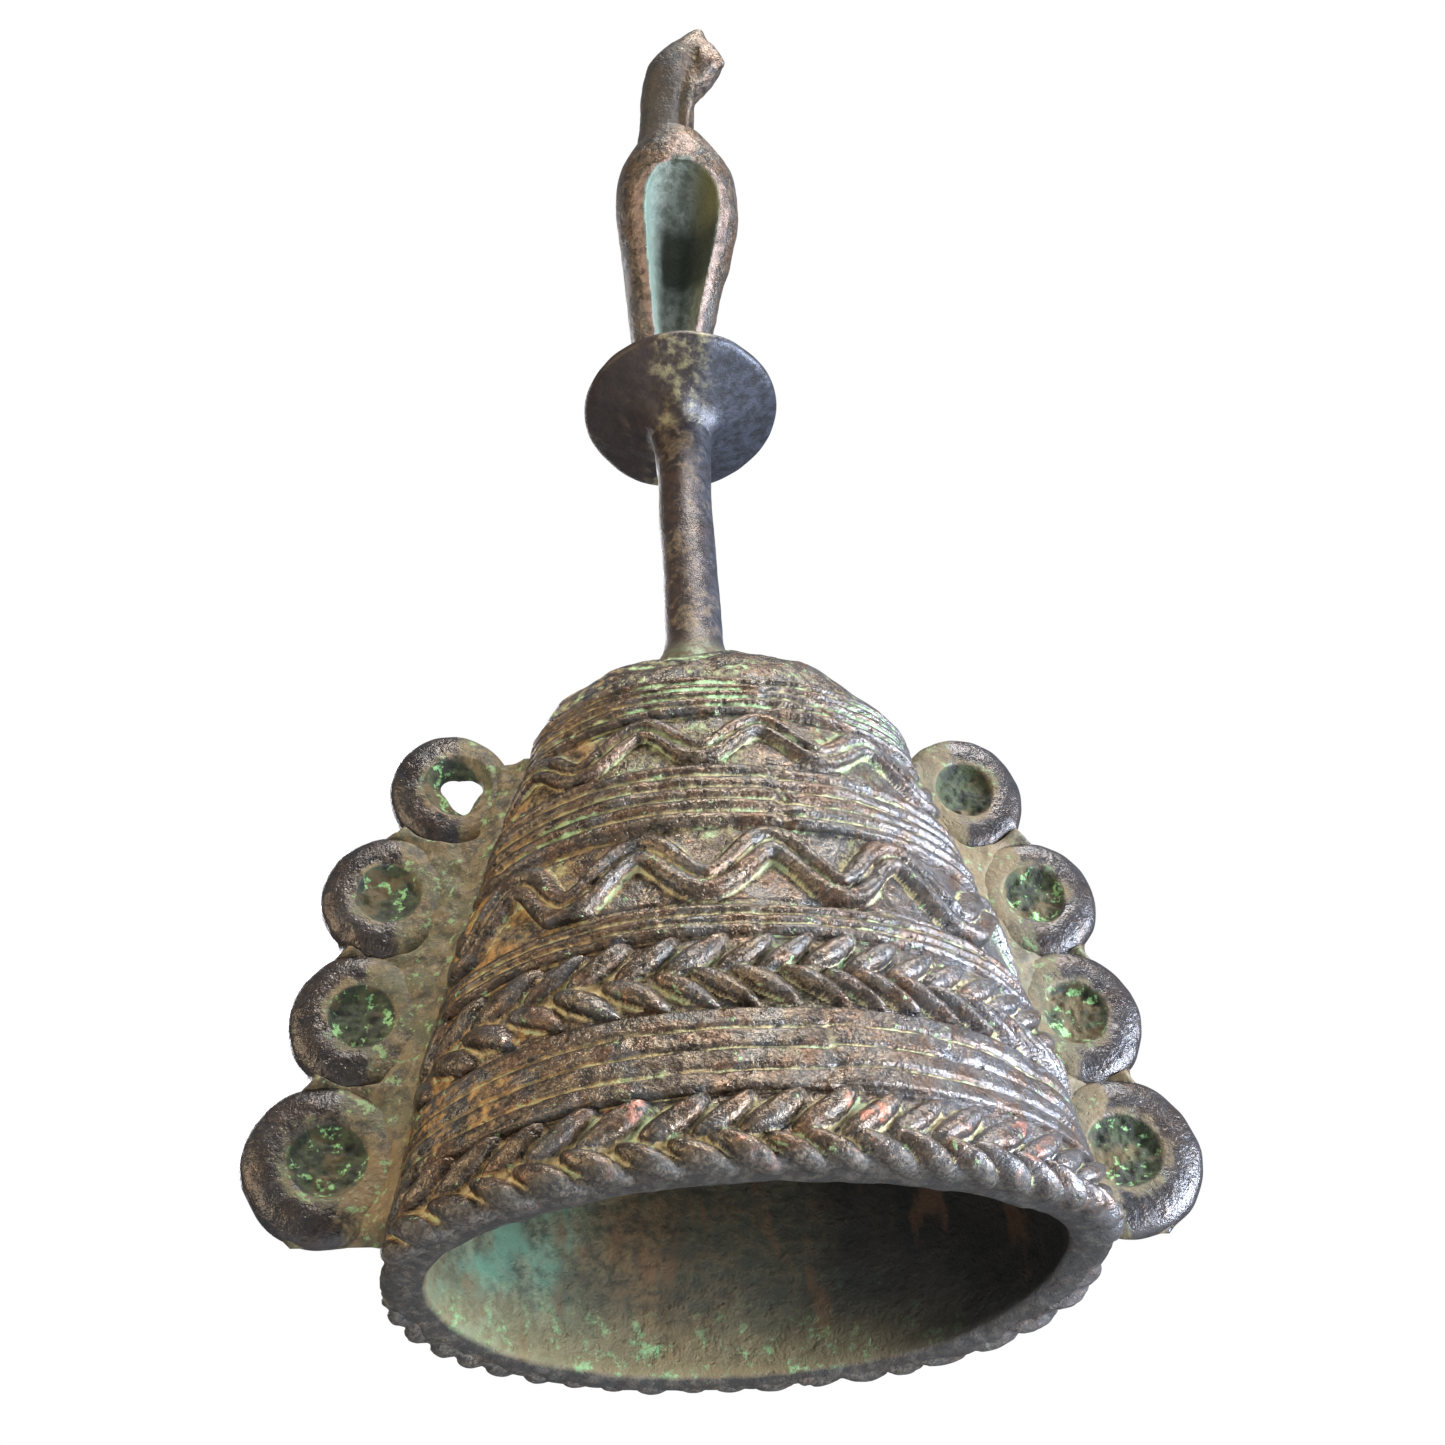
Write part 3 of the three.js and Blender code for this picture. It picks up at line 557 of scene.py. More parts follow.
def add_lobe(side_name, side, index):
    reach, height, wide, tall, hole_w, hole_h = lobe_at(side_name, index)
    seed = index * 7 + (0 if side < 0 else 50)
    open_hole = side < 0 and index == 0
    around = 170
    phi = ring_angles(around)
    cx, cz = np.cos(phi), np.sin(phi)
    px, pz = cx * 10, cz * 10
    outline = 1 + 0.030 * noise(px, pz, 0, 8.0, seed) + 0.012 * noise(px, pz, 0, 2.5, seed)
    inside_share = (hole_w + hole_h) / 2
    hole = inside_share * (1 + 0.10 * noise(px, pz, 3, 7.0, seed + 2))
    shield = 1 + 0.15 * np.cos(3 * phi - math.pi / 2) + 0.08 * noise(cx * 9, cz * 9, 6, 5.0, seed)
    shield = shield * 0.31
    if open_hole:
        stations = np.linspace(0, 1, 44) ** 1.15
    else:
        stations = np.concatenate([
            np.linspace(0, 0.80, 16), np.linspace(0.84, HOLE_EDGE, 11), np.linspace(1.2, 2.2, 26),
        ])

    def open_section(t):
        """Radius, rise of the face and share of crumbling crust, t of the way from the hole to the rim."""
        radius = shield + (1 - shield) * t
        sunk = 1 - ease(hole * 0.92, hole * 1.22, radius)
        mouth = np.sqrt(1 - (1 - min(t / 0.12, 1)) ** 2)
        return radius, (2.75 * rim_round(radius) * (1 - sunk) + 1.3 * sunk) * mouth, 0.6 * sunk

    def filled_section(t):
        """As open_section, from the middle of the filled hole (t = 0) past its edge to the rim."""
        past = max(0, t - HOLE_EDGE) / 1.06
        radius = hole * min(t, HOLE_EDGE) + (1 - hole * HOLE_EDGE) * past
        sunk = 1 - ease(0.80, 1.12, t) + 0 * hole
        flat = (2.5 + 0.3 * ease(0.4, 0.7, radius)) * rim_round(radius)
        floor = 0.75 + 0.5 * (radius / np.maximum(hole, 0.1)) ** 2
        return radius, flat * (1 - sunk) + floor * sunk, sunk

    def rim_round(radius):
        return np.sqrt(np.clip(1 - np.clip((radius - 0.55) / 0.45, 0, 1) ** 2.3, 0, 1))

    def face_ring(t, face):
        radius, lift, crumbs = (open_section if open_hole else filled_section)(t)
        pull = HOLE_DRIFT * ease(0.9, 0.4, radius) if open_hole else 0
        x = reach + wide * outline * radius * cx - pull
        z = height + tall * outline * radius * cz
        bump = 0.13 * noise(x, face * 9.0, z, 4.0, seed) + 0.06 * noise(x, face * 9.0, z, 1.4, seed)
        bump = bump + crumbs * 0.42 * rough(x, face * 9.0, z, 1.5, 2, seed + 4)
        bump = bump + crumbs * 0.4 * noise(x, face * 5.0, z, 3.6, seed + 6)
        return points_at(side * x, face * np.maximum(lift + bump * np.minimum(1, lift), 0), z)

    front, back = ([face_ring(t, face) for t in stations] for face in (-1, 1))
    name = f"lobe_{side_name}_{index + 1}"
    if open_hole:
        thing = looped_skin(name, np.array(front[:-1] + back[:0:-1]))
    else:
        rings = np.array(front[1:] + back[-2:0:-1])
        last, middle = (len(rings) - 1) * around, len(rings) * around
        fans = []
        for j in range(around):
            k = (j + 1) % around
            fans += [[middle, k, j], [middle + 1, last + j, last + k]]
        points = np.concatenate([rings.reshape(-1, 3), front[0][:1], back[0][:1]])
        thing = face_outward(build(name, points, grid_faces(len(rings), around), fans))
    mark_relief(thing, 6, 0.3)
    x, _, z = axes(points_of(thing))
    radius = np.hypot((np.abs(x) - reach) / wide, (z - height) / tall)
    attribute(thing, "pocket", 1 - ease(inside_share * 0.85, inside_share * 1.20, radius))
    ring = 1 - ease(inside_share * 1.1, inside_share * 1.75, radius)
    inward = ease(reach + wide * 0.25, reach - wide * 0.55, np.abs(x))
    attribute(thing, "web", np.maximum(inward, 0.5 * ring))
    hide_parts(f"ring_{side_name}_{index + 1}")
    return thing


WEB_LOW = 8.6
WEB_HIGH = 102.0
WEB_HOLE = (4.9, 5.6)


def add_web(side_name, side):
    """The lumpy plate that joins the lobes to the bell and fills the places between them."""
    rows, columns, blur = 250, 64, 22
    z = np.linspace(WEB_LOW, WEB_HIGH, rows)[:, None]
    lobes = [lobe_at(side_name, index) for index in range(4)]
    near = half_width(z) + side * drift(z)
    edge_x = near + 1.5
    for reach, height, wide, tall, *_ in lobes:
        chord = np.clip(1 - ((z - height) / tall) ** 2, 0, 1)
        edge_x = np.maximum(edge_x, np.where(chord > 0, reach + wide * np.sqrt(chord), 0))
    steps = np.arange(-blur, blur + 1) * (WEB_HIGH - WEB_LOW) / rows
    window = np.exp(-0.5 * (steps / 2.4) ** 2)
    padded = np.pad(edge_x[:, 0], blur, mode="edge")
    outer = np.convolve(padded, window / window.sum(), "valid")[:, None] - 0.3
    inner = near - 2.4
    t = np.linspace(0, 1, columns)[None, :]
    x = inner + (outer - inner) * t
    thick = 2.75 + 2.3 * np.exp(-np.clip(x - near, 0, 50) / 2.0)
    seed = 77 if side < 0 else 177
    thick = thick + 0.6 * rough(x, 0, z, 6.0, 3, seed) + 0.16 * noise(x, 4.0, z, 1.6, seed)
    for reach, height, wide, tall, hole_w, _ in lobes:
        radius = np.hypot((x - reach) / wide, (z - height) / tall)
        cover = ease(0.05, 0.75, (reach - x) / wide + 0.12 * noise(x, 0, z, 4.0, seed + 9))
        cover = cover * ease(hole_w * 1.2, hole_w * 1.9, radius)
        thick = thick * (1 - (1 - ease(0.90, 1.02, radius)) * (1 - cover))
    ends = np.sqrt(ease(0, 3.0, z - WEB_LOW) * ease(0, 3.0, WEB_HIGH - z))
    edge = np.sqrt(1 - ease(0.84, 1.0, t) ** 2) * ends
    thick = np.maximum(thick * edge, 0.02)
    opened = np.zeros((rows - 1, columns - 1), bool)
    if side < 0:
        reach, height, *_ = lobes[0]
        through = np.hypot((x - reach + HOLE_DRIFT) / WEB_HOLE[0], (z - height) / WEB_HOLE[1]) < 1
        thick = np.where(through, 0.3, thick)
        opened = through[:-1, :-1] & through[1:, :-1] & through[:-1, 1:] & through[1:, 1:]
    sheets = []
    for face in (-1, 1):
        wobble = 0.16 * rough(x, face * 12.0, z, 3.2, 2, 5)
        depth = np.maximum(thick + wobble * np.minimum(thick, 1) * edge, 0.01)
        sheets.append(points_at(side * x, face * depth, z))
    front, back = sheets
    size = 2 * columns
    quads = grid_faces(rows, size).reshape(rows - 1, size, 4)
    keep = np.ones((rows - 1, size), bool)
    keep[:, :columns - 1] = ~opened
    keep[:, columns:size - 1] = ~opened[:, ::-1]
    quads = list(quads[keep])
    # A wall round the hole: from each open cell, its four sides as (step, first corner, second corner).
    sides = (
        ((-1, 0), (0, 0), (0, 1)), ((1, 0), (1, 1), (1, 0)),
        ((0, -1), (1, 0), (0, 0)), ((0, 1), (0, 1), (1, 1)),
    )
    for i, j in zip(*np.nonzero(opened)):
        for (di, dj), (ai, aj), (bi, bj) in sides:
            if not opened[i + di, j + dj]:
                row_a, row_b = (i + ai) * size, (i + bi) * size
                a, b = j + aj, j + bj
                quads.append([row_a + a, row_b + b, row_b + size - 1 - b, row_a + size - 1 - a])
    thing = closed_skin(f"{side_name}_web", np.concatenate([front, back[:, ::-1]], axis=1), quads)
    mark_relief(thing, 6, 0.3)
    inwards = np.tile(ease(0.97, 0.86, np.concatenate([t, t[:, ::-1]], axis=1)), (rows, 1))
    attribute(thing, "web", 0.35 + 0.65 * inwards.reshape(-1))
    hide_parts(f"{side_name}_flange")
    return thing


# ---- handle, disc, bird
HANDLE_LEAN = math.radians(1.1)


def leaned(points, back=1):
    """Leans handle pieces about the foot of the rod, or with back = -1 sets them upright again."""
    x, y, z = axes(np.asarray(points, float))
    c, s = math.cos(HANDLE_LEAN), back * math.sin(HANDLE_LEAN)
    z = z - CROWN_TOP
    return points_at(x * c + z * s, y, CROWN_TOP - x * s + z * c)


def turned_points(profile, around, spacing):
    """A turned profile, resampled evenly, as rings of points round +Z."""
    profile = np.array(profile, float)
    run = np.concatenate([[0], np.cumsum(np.hypot(*np.diff(profile, axis=0).T))])
    at = np.linspace(0, run[-1], max(4, int(run[-1] / spacing)))
    kernel = np.array([1, 2, 3, 2, 1]) / 9
    radius, height = (smoothed(np.interp(at, run, profile[:, k]), kernel)[:, None] for k in (0, 1))
    phi = ring_angles(around)
    return points_at(radius * np.cos(phi), radius * np.sin(phi), height)


ROD_TOP = 187.2
DISC_LOW, DISC_HIGH = mm_box("guard_disc")
DISC_RADIUS = (DISC_HIGH[0] - DISC_LOW[0]) / 2
DISC_TOP = 197.0
DISC_TILT = -0.055


def add_handle():
    rings = turned_points([
        (0.3, 119.0), (8.6, 119.5), (8.0, 122.5), (7.2, 124.8), (6.3, 127.2), (5.5, 131.0), (5.25, 142),
        (5.35, 160), (5.2, 172), (5.5, 183), (6.2, ROD_TOP + 1.5), (0.3, ROD_TOP + 1.5),
    ], 96, 0.7)
    x, y, z = axes(rings)
    size = np.hypot(x, y)
    push = 0.22 * rough(x, y, z, 11.0, 3, 12) + 0.6 * ease(131, 123, z) * noise(x, y, z, 5.0, 14)
    swell = 1 + push * np.minimum(1, size / 4) / np.maximum(size, 1e-6)
    bend = 0.5 * np.sin((z - 125) / 62 * math.pi) + 0.9 * ease(146, 122, z)
    thing = closed_skin("handle_grip", leaned(points_at(x * swell - bend, y * swell, z)))
    mark_relief(thing, 8, 0.25)
    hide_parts("handle_rod")

    rings = turned_points([
        (0.3, ROD_TOP - 2.0), (5.4, ROD_TOP - 2.0), (6.0, ROD_TOP), (7.6, ROD_TOP + 1.7),
        (11.0, ROD_TOP + 3.6), (15.0, ROD_TOP + 5.3), (17.8, ROD_TOP + 6.4), (DISC_RADIUS, ROD_TOP + 7.2),
        (DISC_RADIUS, DISC_TOP - 1.0), (17.9, DISC_TOP - 0.2), (10, DISC_TOP - 0.3), (0.3, DISC_TOP),
    ], 160, 0.55)
    x, y, z = axes(rings)
    reach = np.hypot(x, y)
    phi = np.arctan2(y, x)
    swell = 1 + 0.018 * noise(np.cos(phi) * 10, np.sin(phi) * 10, 0, 7.0, 44) * ease(8, 17, reach)
    drip = 1.1 * ease(11.5, 6.5, reach) * noise(np.cos(phi) * 8, np.sin(phi) * 8, z * 0.3, 4.5, 45)
    drip = drip * ease(DISC_TOP - 1, DISC_TOP - 4, z) * ease(4.5, 6.5, reach)
    x, y = x * swell * 1.01, y * swell * 1.035
    z = np.minimum(z + 0.30 * rough(x, y, 0, 9.0, 3, 46) - drip, DISC_TOP + 0.15) + DISC_TILT * y
    thing = closed_skin("guard_plate", leaned(points_at(x, y, z)))
    mark_relief(thing, 8, 0.25)
    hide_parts("guard_disc")


def remeshed(name, pieces, cutters, voxel, smooth):
    """Joins closed pieces, takes the cutters away, and rounds the result as wax would be."""
    base = pieces[0]
    bpy.ops.object.select_all(action="DESELECT")
    for piece in pieces:
        piece.select_set(True)
    bpy.context.view_layer.objects.active = base
    bpy.ops.object.join()

    def remesh():
        modifier = base.modifiers.new("remesh", "REMESH")
        modifier.mode = "VOXEL"
        modifier.voxel_size = voxel * MM

    remesh()
    for cutter in cutters:
        cut = base.modifiers.new("cut", "BOOLEAN")
        cut.operation = "DIFFERENCE"
        cut.object = cutter
        cut.solver = "EXACT"
        remesh()
    soft = base.modifiers.new("soft", "SMOOTH")
    soft.factor = 0.5
    soft.iterations = smooth
    graph = bpy.context.evaluated_depsgraph_get()
    mesh = bpy.data.meshes.new_from_object(base.evaluated_get(graph))
    mesh.name = name
    for old in [base, *cutters]:
        bpy.data.objects.remove(old)
    mesh.polygons.foreach_set("use_smooth", [True] * len(mesh.polygons))
    return in_scene(name, mesh)


def roughen(thing, amount, seed):
    points = points_of(thing)
    push = 0.16 * rough(*axes(points), 6.0, 2, 61 + seed) + 0.05 * rough(*axes(points), 1.6, 2, 67 + seed)
    write_points(thing, points + vertex_vectors(thing, "normal") * (push * amount)[:, None])


BIRD_LEAN = math.radians(24)
BIRD_BACK = 1.5
BIRD_BASE = DISC_TOP + 0.1


def posed_bird(points):
    """From the bird's own axes (base at the origin, +Z up its back, -Y its breast) to the frame."""
    x, y, z = axes(np.asarray(points, float))
    c, s = math.cos(BIRD_LEAN), math.sin(BIRD_LEAN)
    return leaned(points_at(x, y * c - z * s + BIRD_BACK, y * s + z * c + BIRD_BASE))


def unposed_bird(points):
    """From the frame back to the bird's own axes."""
    x, y, z = axes(leaned(points, back=-1))
    y, z = y - BIRD_BACK, z - BIRD_BASE
    c, s = math.cos(BIRD_LEAN), math.sin(BIRD_LEAN)
    return x, y * c + z * s, -y * s + z * c


def loft(name, sections):
    """Skin over oval sections: each is (centre x, y, z, half width, half depth, turn in degrees)."""
    sections = np.array(sections, float)
    index = np.arange(len(sections))
    fine = np.linspace(0, index[-1], index[-1] * 8 + 1)
    columns = [smoothed(np.interp(fine, index, column), np.ones(7) / 7)[:, None] for column in sections.T]
    cx, cy, cz, wide, deep, turn = columns
    phi = ring_angles(48)
    a, b = wide * np.cos(phi), deep * np.sin(phi)
    c, s = np.cos(np.radians(turn)), np.sin(np.radians(turn))
    return closed_skin(name, posed_bird(points_at(cx + a * c - b * s, cy + a * s + b * c, cz)))


HOLLOW = [
    (-2.1, -7.2, 0.6, 2.5, 4.2, 0), (-2.0, -7.0, 6, 3.0, 5.0, 0), (-1.7, -7.0, 14, 3.8, 5.8, 0),
    (-1.2, -7.4, 24, 5.1, 7.2, 0), (-0.6, -7.8, 34, 6.6, 8.4, 0), (-0.2, -8.2, 42, 7.4, 8.6, 0),
    (-0.3, -8.8, 46.6, 6.9, 8.0, 0), (-0.5, -10.0, 50.2, 4.8, 5.4, 0), (-0.5, -10.6, 51.6, 2.2, 3.0, 0),
]


def add_bird():
    pod = loft("pod", [
        (-2.2, 0, -0.5, 6.9, 6.2, 0), (-2.1, 0, 6, 7.2, 6.8, 0), (-1.8, 0.2, 14, 8.1, 8.0, 0),
        (-1.3, 0.5, 24, 9.6, 9.4, 0), (-0.6, 0.6, 34, 11.5, 10.6, 0), (-0.3, 0.6, 43, 12.8, 11.2, 0),
        (-0.4, 0.5, 50, 12.7, 10.8, 0), (-0.6, 0.2, 55.0, 11.0, 9.6, 0), (-1.2, 0, 59.5, 7.6, 7.4, 0),
        (-1.6, 0, 62, 6.2, 6.4, 0),
    ])
    tail = loft("tail", [
        (-1.5, 7.0, 1.5, 2.6, 1.6, 0), (-1.2, 9.0, 7, 4.2, 2.4, 0), (-1, 10.4, 15, 4.8, 3.0, 0),
        (-0.6, 10.2, 24, 4.4, 3.2, 0), (-0.2, 8.4, 33, 3.2, 3.0, 0),
    ])
    body = remeshed("bird_pod", [pod, tail], [loft("hollow", HOLLOW)], 0.45, 12)
    roughen(body, 1.0, 1)
    points = points_of(body)
    points[:, 2] = np.maximum(points[:, 2], DISC_TOP - 0.8)
    write_points(body, points)
    mark_relief(body, 10, 0.3)
    x, y, z = unposed_bird(points)
    table = np.array(HOLLOW)
    cx, cy, wide, deep = (np.interp(z, table[:, 2], table[:, k]) for k in (0, 1, 3, 4))
    reach = np.hypot((x - cx) / wide, (y - cy) / deep)
    inside = (1 - ease(1.04, 1.13, reach)) * ease(53.4, 51.4, z)
    rim = (1 - ease(1.15, 1.65, reach)) * ease(60, 57, z) * ease(-2.6, -4.2, y + 0.03 * z)
    attribute(body, "hollow", inside)
    attribute(body, "rim", rim * (1 - 0.6 * inside))
    attribute(body, "shade", np.exp(-((z - 33) / 8.5) ** 2) * ease(-5.0, -2.4, x))
    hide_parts("bird_body")

    neck = loft("neck", [
        (-2.4, 0, 56.5, 6.4, 6.6, 0), (-2.7, -0.2, 61, 5.8, 6.0, 0), (-2.6, -0.4, 67, 5.6, 5.8, 6),
        (-2.0, -0.6, 73, 5.9, 6.0, 12), (-0.6, -0.8, 78, 6.0, 6.0, 18), (1.2, -1.0, 81.5, 5.0, 5.0, 24),
        (2.9, -1.2, 84.4, 3.0, 3.2, 28), (4.0, -1.4, 87.0, 0.9, 1.0, 28),
    ])
    face = loft("face", [
        (1.2, -2.4, 67.5, 0.6, 1.2, -30), (2.6, -2.8, 71, 2.4, 2.8, -30), (4.3, -3.2, 74.8, 4.0, 3.6, -30),
        (5.4, -3.4, 77.6, 4.2, 3.6, -30), (5.2, -3.0, 80.6, 3.2, 3.0, -30), (4.4, -2.0, 84.6, 1.2, 1.4, -30),
    ])
    tip = closed_skin("tip", posed_bird(beak_points()))
    ridge = loft("ridge", [
        (0.6, -5.4, 60, 0.9, 1.0, 0), (1.2, -5.6, 66, 1.1, 1.2, 0), (2.0, -5.8, 72, 1.2, 1.2, 0),
        (2.8, -5.0, 77, 1.0, 1.1, 0), (3.4, -3.6, 82, 0.9, 1.0, 0),
    ])
    head = remeshed("bird_neck_head", [neck, face, tip, ridge], [], 0.42, 9)
    roughen(head, 1.5, 2)
    mark_relief(head, 10, 0.3)
    x, y, _ = unposed_bird(points_of(head))
    attribute(head, "rim", 0.42 * ease(0.6, 5.0, x) * ease(-1.5, -4.5, y))
    for name in ("hollow", "shade"):
        attribute(head, name, 0 * x)
    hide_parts("bird_head")


def beak_points():
    """A short blunt cone that points to +X and a little down."""
    t = np.linspace(0, 1, 12)[:, None]
    radius = 3.6 * (1 - t) ** 0.8 + 0.5
    phi = ring_angles(24)
    x, y, z = (start + t * run for start, run in ((4.6, 4.6), (-3.4, -2.6), (78.0, -1.2)))
    return points_at(
        x + 0.3 * radius * np.sin(phi), y + 0.9 * radius * np.sin(phi), z + radius * np.cos(phi)
    )


# ---- clapper
STAPLE_Z = 110.0
LINK_SPAN = 9.1
STAPLE_HALF = 5.5
STAPLE_BEND = 2.5
LINK_RADIUS = 3.1


def tube(name, path, radius, around=20, closed=False):
    along = np.roll(path, -1, 0) - np.roll(path, 1, 0) if closed else np.gradient(path, axis=0)
    along /= np.linalg.norm(along, axis=1, keepdims=True)
    fixed = np.eye(3)[int(np.argmin(np.ptp(path, axis=0)))]
    other = np.cross(along, fixed)
    other /= np.linalg.norm(other, axis=1, keepdims=True)
    phi = ring_angles(around)[:, None]
    size = radius * (1 + 0.05 * noise(*axes(path), 3.0, 2))
    rings = path[:, None] + size[:, None, None] * (fixed * np.cos(phi) + other[:, None] * np.sin(phi))
    return (looped_skin if closed else closed_skin)(name, rings)


def arc_points(centre, radius, start, stop, plane, steps):
    turn = np.radians(np.linspace(start, stop, steps))
    flat = points_at(np.cos(turn), 0, np.sin(turn)) * radius
    return np.array(centre) + (flat[:, [1, 0, 2]] if plane == "YZ" else flat)


def add_clapper():
    half, bend, corner = STAPLE_HALF, STAPLE_BEND, STAPLE_Z + STAPLE_BEND
    rise = np.linspace(CROWN_TOP - WALL + 0.6, corner + 0.3, 8)
    path = np.concatenate([
        points_at(-half, 0, rise),
        arc_points((bend - half, 0, corner), bend, 180, 270, "XZ", 14),
        arc_points((half - bend, 0, corner), bend, 270, 360, "XZ", 14),
        points_at(half, 0, rise[::-1]),
    ])
    staple = tube("staple_wire", path, 1.48, 24)
    mark_relief(staple, 5, 0.2)
    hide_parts("clapper_staple")

    low = STAPLE_Z - LINK_SPAN + LINK_RADIUS
    fall = np.linspace(STAPLE_Z, low, 8)[1:-1]
    path = np.concatenate([
        arc_points((0, 0, STAPLE_Z), LINK_RADIUS, 0, 180, "YZ", 24),
        points_at(0, -LINK_RADIUS, fall),
        arc_points((0, 0, low), LINK_RADIUS, 180, 360, "YZ", 24),
        points_at(0, LINK_RADIUS, fall[::-1]),
    ])
    link = tube("link_loop", path, 1.26, closed=True)
    mark_relief(link, 5, 0.2)
    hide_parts("clapper_link")

    pivot = STAPLE_Z - LINK_SPAN
    eye = tube("eye", arc_points((0, 0, pivot), 3.0, 0, 355, "XZ", 72), 1.34, closed=True)
    stem = closed_skin("stem", turned_points([
        (0.2, 25.6), (2.2, 25.8), (4.3, 26.8), (6.2, 29.0), (7.3, 32.0), (7.4, 34.5), (6.6, 37.2), (5.0, 39.8),
        (3.5, 42.0), (2.6, 45.5), (2.25, 52), (1.95, 75), (1.7, 90), (1.6, pivot - 3.2), (0.2, pivot - 3.2),
    ], 48, 0.6))
    clapper = remeshed("clapper_striker", [stem, eye], [], 0.4, 3)
    roughen(clapper, 0.6, 4)
    mark_relief(clapper, 6, 0.25)
    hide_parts("clapper")
    return staple, link, clapper


# ---- materials
def linear_colour(srgb):
    shares = [value / 255 for value in srgb]
    return (*(v / 12.92 if v <= 0.04045 else ((v + 0.055) / 1.055) ** 2.4 for v in shares), 1.0)


class Nodes:
    """Wires shader nodes. A colour of three numbers is sRGB, from 0 to 255."""

    def __init__(self, tree):
        self.tree = tree

    def node(self, kind, sockets, output=0, **settings):
        """A new node with its sockets set or linked. Returns one of its outputs."""
        node = self.tree.nodes.new(kind)
        for key, value in settings.items():
            setattr(node, key, value)
        for key, value in sockets.items():
            socket = node.inputs[key]
            if hasattr(value, "is_output"):
                self.tree.links.new(value, socket)
            elif socket.type == "RGBA" and len(value) == 3:
                socket.default_value = linear_colour(value)
            else:
                socket.default_value = value
        return node.outputs[output] if node.outputs else None

    def attribute(self, name):
        return self.node("ShaderNodeAttribute", {}, "Fac", attribute_name=name)

    def math(self, operation, *values, clamp=False):
        def step(a, b):
            return self.node("ShaderNodeMath", {0: a, 1: b}, operation=operation, use_clamp=clamp)
        return reduce(step, values)

    def times(self, *values):
        return self.math("MULTIPLY", *values)

    def total(self, *values):
        return self.math("ADD", *values)

    def centred(self, value, size):
        return self.times(self.math("SUBTRACT", value, 0.5), size)

    def ramp(self, value, low, high):
        """Rises smoothly from 0 at low to 1 at high."""
        sockets = {"Value": value, "From Min": low, "From Max": high}
        return self.node("ShaderNodeMapRange", sockets, "Result", interpolation_type="SMOOTHSTEP")

    def mix(self, share, a, b, kind="RGBA"):
        return self.node("ShaderNodeMix", {"Factor": share, "A": a, "B": b}, "Result", data_type=kind)

    def blend(self, share, a, b):
        return self.mix(share, a, b, "FLOAT")

    def tone(self, value, low, high, dark, light):
        """The dark colour where the value is low and the light one where it is high."""
        return self.mix(self.ramp(value, low, high), dark, light)

    def tinted(self, base, *coats):
        """The base under coats of colour, each given as (colour, masks and strengths to multiply)."""
        for shade, *masks in coats:
            base = self.mix(self.times(*masks), base, shade)
        return base


class Bronze(Nodes):
    """A bronze material under construction: its noise, its masks and its colour so far."""

    def __init__(self, name):
        self.material = bpy.data.materials.new(name)
        self.material.use_nodes = True
        super().__init__(self.material.node_tree)
        self.tree.nodes.clear()
        self.coords = self.node("ShaderNodeTexCoord", {}, "Object")
        self.x, self.z = (self.node("ShaderNodeSeparateXYZ", {0: self.coords}, axis) for axis in "XZ")
        self.relief = self.attribute("relief")
        self.large, self.medium = self.cloud(24, 2, 1.0), self.cloud(6.5, 3, 2.0)
        self.small, self.fine = self.cloud(2.0, 4, 3.0, 0.65), self.cloud(0.75, 3, 4.0, 0.7)
        self.left = self.past(self.x, self.large, 0.03, 0.004, -0.046)
        self.right = self.ramp(self.x, 0.0, 0.045)

    def cloud(self, size_mm, detail, seed, roughness=0.55, tall=1.0):
        place = self.node("ShaderNodeMapping", {
            "Vector": self.coords, "Location": (seed, seed * 0.7, seed * 1.3), "Scale": (1, 1, 1 / tall),
        })
        sockets = {"Vector": place, "Scale": 1000.0 / size_mm, "Detail": detail, "Roughness": roughness}
        return self.node("ShaderNodeTexNoise", sockets, "Fac")

    def lay_over(self, shade, metallic, roughness, *masks):
        mask = self.times(*masks)
        self.colour = self.mix(mask, self.colour, shade)
        self.metallic = self.blend(mask, self.metallic, metallic)
        self.roughness = self.blend(mask, self.roughness, roughness)

    def past(self, value, noise, size, low, high):
        """A ramp over a value whose border is broken up by noise."""
        return self.ramp(self.total(value, self.centred(noise, size)), low, high)


def metal(b, dark):
    b.colour = b.tinted(
        b.tone(b.small, 0.38, 0.62, (36, 30, 24), (84, 71, 57)),
        # painted sheen: a bluish grey laid over the right side, as the blue window light would gleam on it
        ((104, 105, 112), b.right, 0.55),
        ((48, 37, 30), b.ramp(b.medium, 0.48, 0.60), 0.65),
        ((120, 108, 88), b.ramp(b.fine, 0.52, 0.66), 0.45),
        (
            b.tone(b.fine, 0.4, 0.6, (62, 42, 28), (102, 74, 52)),
            b.ramp(b.cloud(5, 3, 41.0, 0.6), 0.50, 0.60), 0.5,
        ),
        ((76, 80, 83), b.ramp(b.cloud(7, 2, 43.0), 0.52, 0.60), 0.35),
        ((35, 33, 35), dark),
    )


